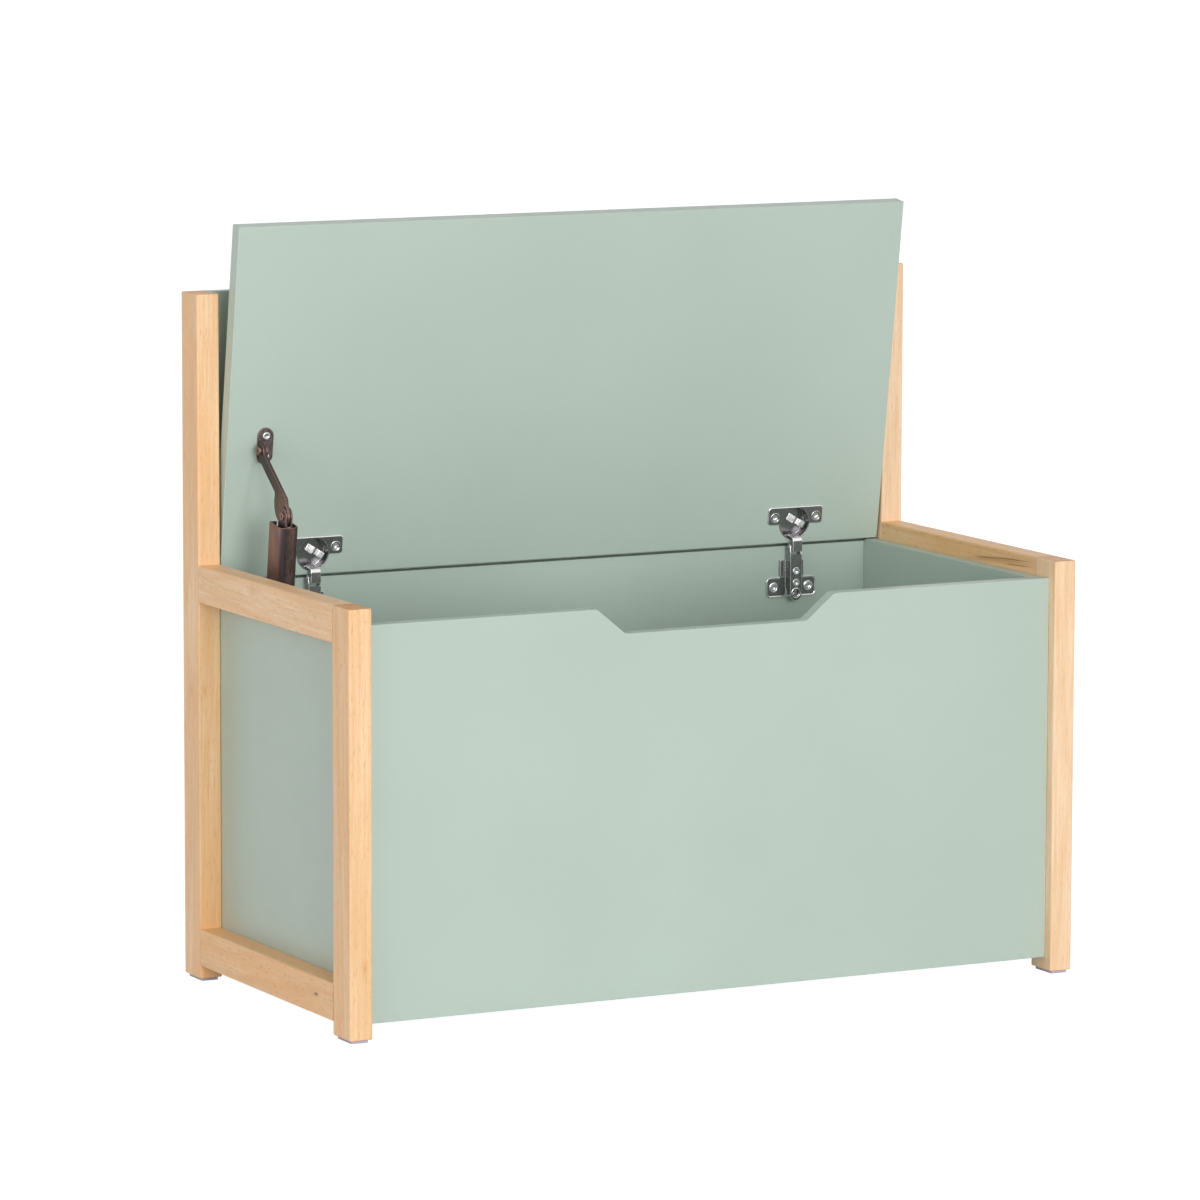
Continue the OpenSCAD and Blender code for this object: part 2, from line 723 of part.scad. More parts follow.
module link_cheek() {
    translate(arm_pin) circle(link_eye_r);
    polygon([
        link_low, arm_pin - [0, link_eye_r], arm_pin + [link_eye_r, 0],
        arm_pin + [link_eye_r - 1, 2.2], link_knee + [1.5, -3], link_knee - [0, 4.5]
    ]);
}

// The link with its round holes on the arm's pin and its slotted eye on the cup's pin
module hinge_link(s) {
    x0 = s * hinge_x - link_w / 2;
    color(nickel) difference() {
        union() {
            side_plate(x0, link_w) link_strip();
            side_plate(x0 + eye_in, link_w - 2 * eye_in)
                capsule(cup_pin_open, cup_pin_open + link_play * link_toward, eye_r);
            side_plate(x0, arm_t) link_cheek();
            side_plate(x0 + link_w - arm_t, arm_t) link_cheek();
        }
        rod_x([x0 - 1, arm_pin.x, arm_pin.y], pin_r + run, link_w + 2);
        side_plate(x0 - 1, link_w + 2)
            capsule(cup_pin_open, cup_pin_open + link_play * link_toward, pin_r + link_side);
    }
}

module left_hinge_link() { hinge_link(-1); }
module right_hinge_link() { hinge_link(1); }

// The arm's side flange in a side view: an ear round the pin and a straight channel below
arm_end_r = arm_w / 2;
module arm_flange() {
    ear = arm_pin;
    translate(ear) circle(3.4);
    polygon([
        [arm_face_y, ear.y - 8], [ear.x - 3.4, ear.y], [ear.x + 3.4, ear.y],
        [plate_y - seat, ear.y - 12], [plate_y - seat, arm_low + arm_end_r + 7],
        [arm_face_y + 4, arm_low + arm_end_r], [arm_face_y, arm_low + arm_end_r]
    ]);
}

// The arm: a channel with a round lower end, two adjusting screws and an open key hole
adjust_zs = [arm_low + 18.8, arm_low + 18.8 + adjust_gap];
module hinge_arm(s) {
    x0 = s * hinge_x;
    hole_len = arm_t + 2;
    color(nickel) difference() {
        union() {
            side_plate(x0 - arm_w / 2, arm_t) arm_flange();
            side_plate(x0 + arm_w / 2 - arm_t, arm_t) arm_flange();
            translate([x0, arm_face_y + arm_t, 0]) rotate([90, 0, 0]) linear_extrude(arm_t) {
                translate([0, arm_low + arm_end_r]) circle(arm_end_r);
                translate([-arm_end_r, arm_low + arm_end_r])
                    square([arm_w, arm_len - 8 - arm_end_r]);
            }
        }
        rod_x([x0 - arm_w, arm_pin.x, arm_pin.y], pin_r + fit, 2 * arm_w);
        for (z = adjust_zs) rod_y([x0, arm_face_y - 1, z], adjust_d / 3 + fit + 0.3, hole_len);
        difference() {
            rod_y([x0, arm_face_y - 1, key_z], key_r, hole_len);
            block([x0 - 1.2, arm_face_y - 1, key_z - key_r], [x0 + 1.2, arm_face_y + arm_t, key_z + key_r]);
        }
        block(
            [x0 + 0.2, arm_face_y - 1, key_z + key_r - 1.5],
            [x0 + 1.7, arm_face_y + hole_len, adjust_zs[0]]
        );
    }
}

module left_hinge_arm() { hinge_arm(-1); }
module right_hinge_arm() { hinge_arm(1); }

// The mounting plate: two screwed wings, a ribbed tab and a rail inside the arm's channel
module hinge_plate(s) {
    rail_w = arm_w - 2 * arm_t - 2 * fit;
    wing_top = wing_z + wing_h / 2;
    color(nickel) translate([s * hinge_x, 0, 0]) difference() {
        union() {
            translate([-wing_w / 2, back_face_y, wing_z - wing_h / 2]) rotate([90, 0, 0])
                linear_extrude(2) round_rect(wing_w, wing_h, 5);
            block([-tab_w / 2, plate_y, wing_z], [tab_w / 2, back_face_y, wing_top + tab_h]);
            for (o = sides)
                block([o * (tab_w / 2 - 2.3) - 2.3, plate_y - 1.5, wing_top + 1],
                      [o * (tab_w / 2 - 2.3) + 2.3, back_face_y, wing_top + tab_h]);
            block([-rail_w / 2, arm_face_y + arm_t + seat, arm_low + 4],
                  [rail_w / 2, back_face_y, arm_low + 40]);
        }
        for (o = sides) translate([o * wing_screw_gap / 2, plate_y, wing_z])
            sunk_screw(3.6 + fit, 1.8 + fit, 5);
        for (z = adjust_zs) rod_y([0, arm_face_y, z], adjust_d / 3 + fit, adjust_len + 0.6);
        rod_y([0, arm_face_y, key_z], key_r - 0.5, back_face_y - 2.5 - arm_face_y);
    }
}

module left_hinge_plate() { hinge_plate(-1); }
module right_hinge_plate() { hinge_plate(1); }

module hinge_cup_pins() {
    aside = cup_pin.x - cup_y + pin_r;
    reach = sqrt(cup_in_r * cup_in_r - aside * aside) - fit;
    color(zinc) on_lid() for (s = sides)
        rod_x([s * hinge_x - reach, cup_pin.x, cup_pin.y], pin_r, 2 * reach);
}

module hinge_arm_pins() {
    color(zinc) for (s = sides)
        rod_x([s * hinge_x - arm_w / 2 - 0.4, arm_pin.x, arm_pin.y], pin_r, arm_w + 0.8);
}

module hinge_cup_screws() {
    color(nickel) on_lid() at_cup_screws() sunk_screw(cup_head_r, 1.6, cup_screw_len);
}

plate_screw_len = panel_t - 3 + 2;
module at_plate_screws() {
    for (s = sides, o = sides)
        translate([s * hinge_x + o * wing_screw_gap / 2, plate_y, wing_z]) children();
}
module plate_screw_cuts() {
    at_plate_screws() sunk_screw(3.6 + fit, 1.8 + fit, plate_screw_len + seat);
}
module hinge_plate_screws() {
    color(nickel) at_plate_screws() sunk_screw(3.6, 1.8, plate_screw_len);
}

// The arm's adjusting screws, with their heads on the arm and their ends in the plate
adjust_proud = 0.8;
module hinge_adjusting_screws() {
    color(zinc) for (s = sides, z = adjust_zs) {
        rod_y([s * hinge_x, arm_face_y - adjust_proud, z], adjust_d / 2, adjust_proud - run);
        rod_y([s * hinge_x, arm_face_y - adjust_proud, z], adjust_d / 3, adjust_len);
    }
}

// Lid stay

// Runs its children in the tube's frame: the elbow at the origin, Y to the back, Z up the tube
module in_tube() {
    translate([stay_x, elbow.x, elbow.y]) rotate([tube_lean, 0, 0]) children();
}

side_screw_len = panel_t - 3 + bracket_t;
side_bracket_low = side_bracket_len / 2 + 3;
side_screw_zs = [10 - side_bracket_low, side_bracket_len - side_bracket_low - 10];
module at_side_screws() {
    for (z = side_screw_zs) translate([-side_face_x + bracket_t, foot.x, foot.y + z])
        rotate([0, 0, 90]) children();
}
module side_screw_cuts() {
    at_side_screws() sunk_screw(3.8 + fit, 1.9 + fit, side_screw_len + seat);
}

boss_end = stay_x - tube_w / 2 - seat;
module stay_side_bracket() {
    color(bronze) difference() {
        union() {
            side_plate(-side_face_x, bracket_t)
                translate([foot.x - side_bracket_w / 2, foot.y - side_bracket_low])
                    round_rect(side_bracket_w, side_bracket_len, 8);
            rod_x([-side_face_x, foot.x, foot.y], 7, boss_end + side_face_x);
        }
        rod_x([-side_face_x - 1, foot.x, foot.y], foot_d / 2 + fit, stay_off);
        at_side_screws() sunk_screw(3.8 + fit, 1.9 + fit, 5);
    }
}

module stay_side_screws() {
    color(zinc) at_side_screws() sunk_screw(3.8, 1.9, side_screw_len);
}

module stay_foot_rivet() {
    wall_end = stay_x - tube_w / 2 + tube_wall;
    color(zinc) {
        rod_x([-side_face_x + seat, foot.x, foot.y], foot_d / 2, wall_end + 0.1 + side_face_x - seat);
        rod_x([wall_end + 0.1, foot.x, foot.y], foot_d / 2 + 1.2, 1.6);
    }
}

// The tube's section, round at the front and square at the back
module tube_outline(inset) {
    r = tube_r - inset;
    translate([-tube_w / 2 + inset, tube_front + inset]) union() {
        w = tube_w - 2 * inset;
        d = tube_d - 2 * inset;
        translate([0, r]) square([w, d - r]);
        translate([r, 0]) square([w - 2 * r, d]);
        for (x = [r, w - r]) translate([x, r]) circle(r);
    }
}

slot_len = 24;
slot_w = 6;
module stay_tube() {
    color(bronze) in_tube() difference() {
        translate([0, 0, tube_end]) linear_extrude(rim_rise - rim_drop - tube_end) difference() {
            tube_outline(0);
            tube_outline(tube_wall);
        }
        side_plate(-tube_w, 2 * tube_w) polygon([
            [tube_front - 1, -rim_drop], [tube_front, -rim_drop], [tube_back, rim_rise - rim_drop],
            [tube_back, 1], [tube_front - 1, 1]
        ]);
        rod_x([-tube_w, foot_back, -tube_reach], foot_d / 2 + run, tube_w);
        block([-slot_w / 2, tube_back - tube_wall - 1, -rim_drop - slot_len],
              [slot_w / 2, tube_back + 1, 1]);
    }
}

// The yoke: two ears that carry the elbow, joggled out to the tube's walls below the rim
module stay_yoke() {
    wall_x = in_w / 2 - fit;
    color(bronze) in_tube() difference() {
        for (s = sides) intersection() {
            union() {
                side_plate(s > 0 ? ear_in : -ear_out, ear_t) {
                    circle(ear_r);
                    translate([-ear_r, shelf_z]) square([2 * ear_r, -shelf_z]);
                }
                block([s > 0 ? ear_in : -wall_x, -ear_r, shelf_z - eps],
                      [s > 0 ? wall_x : -ear_in, ear_r, shelf_z + ear_t]);
                block([s > 0 ? wall_x - ear_t : -wall_x, -ear_r, shelf_z - leg_h],
                      [s > 0 ? wall_x : ear_t - wall_x, ear_r, shelf_z]);
            }
            translate([0, 0, shelf_z - leg_h]) linear_extrude(leg_h - shelf_z + ear_r)
                tube_outline(tube_wall + fit);
        }
        rod_x([-tube_w, 0, 0], elbow_d / 2 + run, 2 * tube_w);
    }
}

// A hollow rivet's flared head, leading along X from x0 to the side s
module eyelet(x0, r, s, tall = 1.2) {
    rod_x([x0, 0, 0], r, s * tall);
}

module stay_elbow_rivet() {
    color(zinc) in_tube() difference() {
        union() {
            rod_x([-ear_out - run, 0, 0], elbow_d / 2, 2 * ear_out + 2 * run);
            for (s = sides) eyelet(s * (ear_out + run), elbow_d / 2 + 1.4, s);
        }
        rod_x([-ear_out - 2, 0, 0], eyelet_d / 2, 2 * ear_out + 4);
    }
}

// The plunger: its tongue stands between the ears, where the cam presses it down,
// and its body rides between the yoke's legs, on the spring
module stay_plunger() {
    body_w = in_w - 2 * ear_t - 4 * fit;
    tongue_w = 2 * (ear_in - fit);
    front = tube_front + tube_wall + seat;
    back = tube_back - tube_wall - seat;
    color(zinc) in_tube() {
        block([-tongue_w / 2, front, shelf_z - seat - eps], [tongue_w / 2, back, plunger_top]);
        intersection() {
            block([-body_w / 2, front, plunger_end], [body_w / 2, back, shelf_z - seat]);
            translate([0, 0, plunger_end]) linear_extrude(shelf_z - plunger_end)
                tube_outline(tube_wall + seat);
        }
        rod_z([0, tube_mid, plunger_end], (spring_d - wire_d) / 2 - seat, -6);
    }
}

// The spring: one wire swept along a helix, with its ends cut square
spring_low = seat_top + seat + wire_d / 2;
spring_high = plunger_end - seat - wire_d / 2;
wire_sides = 6;
turn_steps = 8;
spring_rings = spring_turns * turn_steps;
spring_pitch = (spring_high - spring_low) / spring_turns;
function spring_point(i, k) = let (
    a = 360 * i / turn_steps, b = 360 * k / wire_sides,
    r = spring_d / 2 + wire_d / 2 * cos(b)
) [r * cos(a), tube_mid + r * sin(a), spring_low + spring_pitch * i / turn_steps + wire_d / 2 * sin(b)];

module stay_spring() {
    n = wire_sides;
    points = [for (i = [0:spring_rings], k = [0:n - 1]) spring_point(i, k)];
    walls = [for (i = [0:spring_rings - 1], k = [0:n - 1]) let (
        a = i * n + k, b = i * n + (k + 1) % n, c = b + n, d = a + n
    ) each [[a, c, b], [a, d, c]]];
    start = [for (k = [1:n - 2]) [0, k, k + 1]];
    end = [for (k = [1:n - 2]) [spring_rings * n, spring_rings * n + k + 1, spring_rings * n + k]];
    color(zinc) in_tube() polyhedron(points, concat(walls, start, end), convexity = 10);
}
echo(spring_gap = spring_pitch - wire_d);
echo(spring_base_z = elbow.y + turn([tube_mid, seat_top + seat], tube_lean).y);

module stay_spring_seat() {
    color(zinc) in_tube() {
        translate([0, 0, seat_top - 7]) linear_extrude(7) tube_outline(tube_wall + fit);
        rod_z([0, tube_mid, seat_top], (spring_d - wire_d) / 2 - seat, 6);
    }
}

// The arm in its own frame: the elbow at the origin, Y along the arm, Z to the front.
// The cam is the involute that lifts a flat plunger by the same amount for each degree.
cam_start = -90 + tube_lean - arm_rise;
function cam_lift(a) = cam_low + cam_rise * (a - cam_start) * PI / 180;
function cam_point(a) = cam_lift(a) * [cos(a), sin(a)] + cam_rise * [-sin(a), cos(a)];
cam_steps = 28;
cam_from = cam_start - 50;
cam_to = cam_start + abs(arm_turn) + 5;
neck = cam_point(cam_to).x;

module arm_outline() {
    half = stay_arm_w / 2;
    low = [neck - 10, stay_arm_bend];
    high = [stay_arm_len - 2, -half / 2];
    side = half * normal2(high - low);
    lobe = [for (i = [0:cam_steps]) cam_point(cam_from + (cam_to - cam_from) * i / cam_steps)];
    polygon(concat([[0, 0]], lobe));
    polygon([
        low - side, high - side, high + side, low + side,
        [neck / 2 - 4, stay_arm_bend + half + 1.5], [0, cam_low]
    ]);
    polygon([[0, 0], cam_point(cam_to), low - side, low, low + side, [0, cam_low]]);
    polygon([
        cam_point(cam_to), cam_point(cam_to) + [2.4, 1.6], cam_point(cam_to) + [5.4, 2.8],
        cam_point(cam_to) + [9, 3.4], [neck + 6, stay_arm_bend], [0, 0]
    ]);
    circle(cam_low);
    translate([stay_arm_len, 0]) circle(half + 0.8);
}

module in_arm() {
    translate([stay_x, elbow.x, elbow.y]) rotate([arm_rise, 0, 0]) children();
}

upper_r = 2.5;
module stay_arm() {
    color(bronze) in_arm() difference() {
        side_plate(-stay_arm_t / 2, stay_arm_t) arm_outline();
        rod_x([-tube_w, 0, 0], elbow_d / 2 + run, 2 * tube_w);
        rod_x([-tube_w, stay_arm_len, 0], upper_r + run, 2 * tube_w);
    }
}

// The upper rivet is two halves that meet in the gap between the arm and the bracket's ear
module stay_arm_rivet() {
    color(zinc) in_arm() translate([0, stay_arm_len, 0]) difference() {
        union() {
            rod_x([stay_arm_t / 2, 0, 0], upper_r, -stay_arm_t - run);
            eyelet(-stay_arm_t / 2 - run, upper_r + 1.4, -1, 3);
        }
        rod_x([-stay_arm_t / 2 - 4, 0, 0], eyelet_d / 2, 4.5);
    }
}

// The lid bracket: a plate on the lid and an ear with a round lower end, drawn with
// the upper pivot at the origin, Y down the lid and Z towards the lid
lid_screw_len = lid_t - 5;
bracket_lap = 1.6;
bracket_mid_x = bracket_x - bracket_lap + bracket_w / 2;
bracket_y = lid_back_y - stay_lid_edge - 1.4;
ear_heel = [5.5, stay_lid_off - 6];
module at_lid_screws() {
    for (o = sides)
        translate([bracket_mid_x, bracket_y + o * bracket_screw_gap / 2, lid_under]) children();
}

module bracket_ear() {
    intersection() {
        union() {
            circle(7);
            translate(ear_heel) circle(9.5);
            polygon([[-8, stay_lid_off], [-7, 0], [0, -2], ear_heel, [8, stay_lid_off]]);
        }
        translate([-20, -20]) square([40, 20 + stay_lid_off]);
    }
}

module stay_lid_bracket() {
    y0 = lid_back_y - stay_lid_edge;
    end_r = bracket_w / 2;
    color(bronze) on_lid() difference() {
        union() {
            translate([bracket_mid_x - end_r, bracket_y - bracket_len / 2, lid_under - bracket_t])
                linear_extrude(bracket_t) {
                    translate([0, end_r]) square([bracket_w, bracket_len - 2 * end_r]);
                    for (y = [end_r, bracket_len - end_r]) translate([end_r, y]) circle(end_r);
                }
            side_plate(bracket_x, bracket_t) translate([y0, lid_under - stay_lid_off]) bracket_ear();
        }
        rod_x([bracket_x - 1, y0, lid_under - stay_lid_off], upper_r + run, bracket_t + 2);
        at_lid_screws() rod_z([0, 0, -bracket_t - 1], 1.8 + fit, bracket_t + 2);
    }
}

module stay_lid_rivet() {
    color(zinc) on_lid() translate([0, lid_back_y - stay_lid_edge, lid_under - stay_lid_off]) difference() {
        union() {
            rod_x([bracket_x, 0, 0], upper_r, bracket_t + run);
            eyelet(bracket_x + bracket_t + run, upper_r + 1.4, 1);
        }
        rod_x([bracket_x + bracket_t - 1, 0, 0], eyelet_d / 2, 3);
    }
}

module stay_lid_screws() {
    color(zinc) on_lid() at_lid_screws() {
        rod_z([0, 0, lid_screw_len], 1.8, -lid_screw_len - bracket_t - run);
        rod_z([0, 0, -bracket_t - run], 3.6, -2.2);
    }
}

left_front_post();
right_front_post();
left_back_post();
right_back_post();
left_arm_rail();
right_arm_rail();
left_bottom_rail();
right_bottom_rail();
frame_dowels();
foot_pads();
left_side_panel();
right_side_panel();
front_panel();
back_panel();
bottom_panel();
backrest_panel();
panel_dowels();
cam_bolts();
cam_discs();
backrest_screws();
lid_panel();
left_hinge_cup();
right_hinge_cup();
left_hinge_link();
right_hinge_link();
left_hinge_arm();
right_hinge_arm();
left_hinge_plate();
right_hinge_plate();
hinge_cup_pins();
hinge_arm_pins();
hinge_cup_screws();
hinge_plate_screws();
hinge_adjusting_screws();
stay_side_bracket();
stay_side_screws();
stay_foot_rivet();
stay_tube();
stay_yoke();
stay_elbow_rivet();
stay_plunger();
stay_spring();
stay_spring_seat();
stay_arm();
stay_arm_rivet();
stay_lid_bracket();
stay_lid_rivet();
stay_lid_screws();
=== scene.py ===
# Toy box bench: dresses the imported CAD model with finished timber, paint and fittings.

import json
import math

import bmesh
import bpy
from bpy.props import FloatProperty, FloatVectorProperty, PointerProperty
from mathutils import Matrix, Vector

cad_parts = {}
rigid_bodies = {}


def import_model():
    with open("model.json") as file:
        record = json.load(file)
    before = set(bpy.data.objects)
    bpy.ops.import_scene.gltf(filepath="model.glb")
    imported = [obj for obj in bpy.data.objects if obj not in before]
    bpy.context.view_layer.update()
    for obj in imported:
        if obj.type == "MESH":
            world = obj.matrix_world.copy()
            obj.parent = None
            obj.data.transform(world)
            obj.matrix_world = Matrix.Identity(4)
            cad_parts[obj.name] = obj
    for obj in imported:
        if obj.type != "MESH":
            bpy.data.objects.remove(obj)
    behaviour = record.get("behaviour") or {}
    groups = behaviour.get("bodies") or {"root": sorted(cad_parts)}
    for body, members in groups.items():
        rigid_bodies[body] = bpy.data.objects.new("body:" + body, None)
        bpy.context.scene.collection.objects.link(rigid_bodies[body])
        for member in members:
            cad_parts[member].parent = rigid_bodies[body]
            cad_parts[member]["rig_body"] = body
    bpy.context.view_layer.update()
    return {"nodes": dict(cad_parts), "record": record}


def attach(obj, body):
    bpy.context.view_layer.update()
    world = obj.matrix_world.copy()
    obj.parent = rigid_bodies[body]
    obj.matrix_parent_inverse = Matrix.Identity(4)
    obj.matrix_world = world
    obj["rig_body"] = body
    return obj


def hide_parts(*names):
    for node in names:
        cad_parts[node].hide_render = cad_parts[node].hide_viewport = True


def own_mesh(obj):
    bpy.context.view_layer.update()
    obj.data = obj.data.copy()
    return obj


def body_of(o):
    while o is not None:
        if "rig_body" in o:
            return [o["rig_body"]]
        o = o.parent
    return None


bl_info = {
    "name": "Toy Box Bench",
    "version": (1, 0, 0),
    "blender": (4, 5, 0),
    "location": "View3D > Sidebar > Bench",
    "description": "Finishes a toy box bench: timber frame, painted box, lid hinges and lid stay",
    "category": "Object",
}

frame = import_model()
MM = 0.001

# Camera, fitted to the bench's straight edges
CAMERA_AT = (-3.07976, -5.85569, 1.29963)
CAMERA_YAW = math.radians(27.4828)
CAMERA_PITCH = math.radians(7.9305)
CAMERA_ROLL = math.radians(0.1619)
CAMERA_LENS = 201.65
CAMERA_SENSOR = 36


def srgb(red, green, blue):
    """Linear RGBA for a colour given as 0 to 255 screen values."""
    def linear(value):
        value /= 255
        return value / 12.92 if value <= 0.04045 else ((value + 0.055) / 1.055) ** 2.4
    return (linear(red), linear(green), linear(blue), 1.0)


def blended(first, second, share):
    """A colour between two others."""
    return tuple(a + (b - a) * share for a, b in zip(first, second))


def toned(tint, amount):
    """A colour made lighter or darker by a factor."""
    return tuple(min(1.0, part * amount) for part in tint[:3]) + (1.0,)


# Settings that a user would change

def colour(name, description, default):
    return FloatVectorProperty(name=name, description=description, subtype="COLOR", size=4,
                               min=0, max=1, default=default)


def length(name, description, default):
    return FloatProperty(name=name, description=description, subtype="DISTANCE", unit="LENGTH",
                         min=0, default=default)


class BenchFinishes(bpy.types.PropertyGroup):
    """Colours of the bench's finishes"""
    timber_pale: colour("Pale timber", "Palest timber under clear lacquer", srgb(255, 230, 200))
    timber_warm: colour("Warm timber", "Warmer timber under clear lacquer", srgb(250, 206, 154))
    timber_dark: colour("Dark timber", "Darker streaks of the timber", srgb(234, 182, 124))
    heartwood: colour("Heartwood", "Brown heartwood streaks and knots", srgb(130, 70, 34))
    paint: colour("Paint", "Satin paint of the boards", srgb(186, 202, 191))
    nickel: colour("Nickel", "Plating of the cup hinges", srgb(164, 162, 164))
    # Painted highlight: this pale nickel goes on the hinges' rounded edges, rims, borders, the
    # link's upward bend and the dish's blocks, and is also the screws' plating
    nickel_screw_and_highlight: colour("Bright nickel", "Polished edges of the cup hinges", srgb(250, 249, 250))
    bronze: colour("Bronze", "Dark finish of the lid stay", srgb(78, 64, 62))
    copper: colour("Copper", "Worn edges and rivets of the lid stay", srgb(160, 124, 112))
    zinc: colour("Zinc", "Plating of screws and small fittings", srgb(214, 212, 212))
    pad: colour("Foot pad", "Plastic of the foot pads", srgb(196, 190, 206))


class BenchSizes(bpy.types.PropertyGroup):
    """Sizes of the finishing detail"""
    timber_edge: length("Timber edge", "Rounding of the timber's edges", 0.4 * MM)
    board_edge: length("Board edge", "Rounding of the painted boards' edges", 0.7 * MM)
    flange_edge: length("Flange edge", "Rounding of the cup flange's outline", 0.95 * MM)
    steel_edge: length("Steel edge", "Rounding of the pressed steel's edges", 0.3 * MM)
    plate_edge: length("Plate edge", "Rounding of the link's, arm's and plate's edges", 0.42 * MM)
    border: length("Border", "Width of the mounting plate's raised border", 0.9 * MM)
    recess_depth: length("Recess depth", "Depth of the screws' cross recesses", 0.9 * MM)


# Materials

AXES = "XYZ"
WHITE = (1, 1, 1, 1)
GROWTH_LINE = srgb(220, 158, 98)
HONEY = srgb(248, 184, 112)
FLECK = srgb(222, 160, 100)
PORE = srgb(196, 138, 86)
KNOT_RING = srgb(226, 160, 96)
END_PALE = srgb(240, 214, 184)
END_DARK = srgb(226, 192, 156)
BEECH = srgb(224, 190, 148)
BEECH_FLECK = srgb(178, 134, 92)
NICKEL_SPECK = srgb(112, 110, 113)
NICKEL_MARK = srgb(214, 212, 212)
NICKEL_CLOUD = srgb(108, 107, 110)
NICKEL_EDGE_SHADE = srgb(214, 213, 215)
ZINC_SHADE = srgb(160, 160, 164)
COPPER_SHADE = srgb(112, 84, 78)
BRONZE_GAP = srgb(38, 32, 36)
BRONZE_FRONT_PAINTED_SHADE = srgb(58, 52, 58)
BRONZE_RING = srgb(84, 68, 62)
BRONZE_RING_PALE = srgb(136, 110, 100)

# How far the timber's grain sways, in metres, and how far its rings' centre lies from the origin
GRAIN_SWAY = 0.012
RING_CENTRE = 0.09
RING_CENTRE_STEP = 0.013

# Painted shade: beside a tube's corner the front is dark up to the first distance and clear from
# the second
DARK_BESIDE = 4 * MM
CLEAR_BESIDE = 6.5 * MM


class Nodes:
    """A node tree, with short ways to add nodes to it."""

    def __init__(self, tree):
        self.tree = tree

    def add(self, kind, inputs, **settings):
        node = self.tree.nodes.new(kind)
        for key, value in settings.items():
            setattr(node, key, value)
        for key, value in inputs.items():
            self.feed(node.inputs[key], value)
        return node

    def feed(self, socket, value):
        if isinstance(value, bpy.types.NodeSocket):
            self.tree.links.new(value, socket)
        else:
            socket.default_value = value

    def math(self, operation, first, second=0.0):
        return self.add("ShaderNodeMath", {0: first, 1: second}, operation=operation).outputs[0]


class Finish(Nodes):
    """One material, with short ways to add patterns to it."""

    def __init__(self, name):
        self.material = bpy.data.materials.new(name)
        self.material.use_nodes = True
        super().__init__(self.material.node_tree)
        self.shader = self.tree.nodes["Principled BSDF"]
        self.source = self.add("ShaderNodeTexCoord", {}).outputs

    def placed(self, stretch=(1, 1, 1), turn=(0, 0, 0), at=(0, 0, 0), vector=None):
        """Coordinates of a pattern that is stretched, turned and centred on a point."""
        return self.add("ShaderNodeMapping", {
            "Vector": vector or self.source["Object"], "Location": at, "Rotation": turn,
            "Scale": stretch,
        }, vector_type="TEXTURE").outputs[0]

    def noise(self, vector, scale, detail=3.0, roughness=0.5):
        return self.add("ShaderNodeTexNoise", {
            "Vector": vector, "Scale": scale, "Detail": detail, "Roughness": roughness,
        }).outputs[0]

    def mix(self, factor, first, second, way="MIX"):
        node = self.add("ShaderNodeMix", {0: factor, 6: first, 7: second},
                        data_type="RGBA", blend_type=way)
        return node.outputs[2]

    def vector(self, operation, first, second=(0, 0, 0)):
        return self.add("ShaderNodeVectorMath", {0: first, 1: second}, operation=operation)

    def range(self, value, low, high, to_low, to_high):
        return self.add("ShaderNodeMapRange", {
            "Value": value, "From Min": low, "From Max": high, "To Min": to_low, "To Max": to_high,
        }).outputs[0]

    def bump(self, height, distance, strength):
        return self.add("ShaderNodeBump", {
            "Height": height, "Distance": distance, "Strength": strength,
        }).outputs[0]

    def set(self, **inputs):
        for name, value in inputs.items():
            self.feed(self.shader.inputs[name.replace("_", " ")], value)
        return self.material


def along(grain, amount):
    """A stretch by an amount along the grain's axis."""
    return tuple(amount if axis == grain else 1 for axis in AXES)


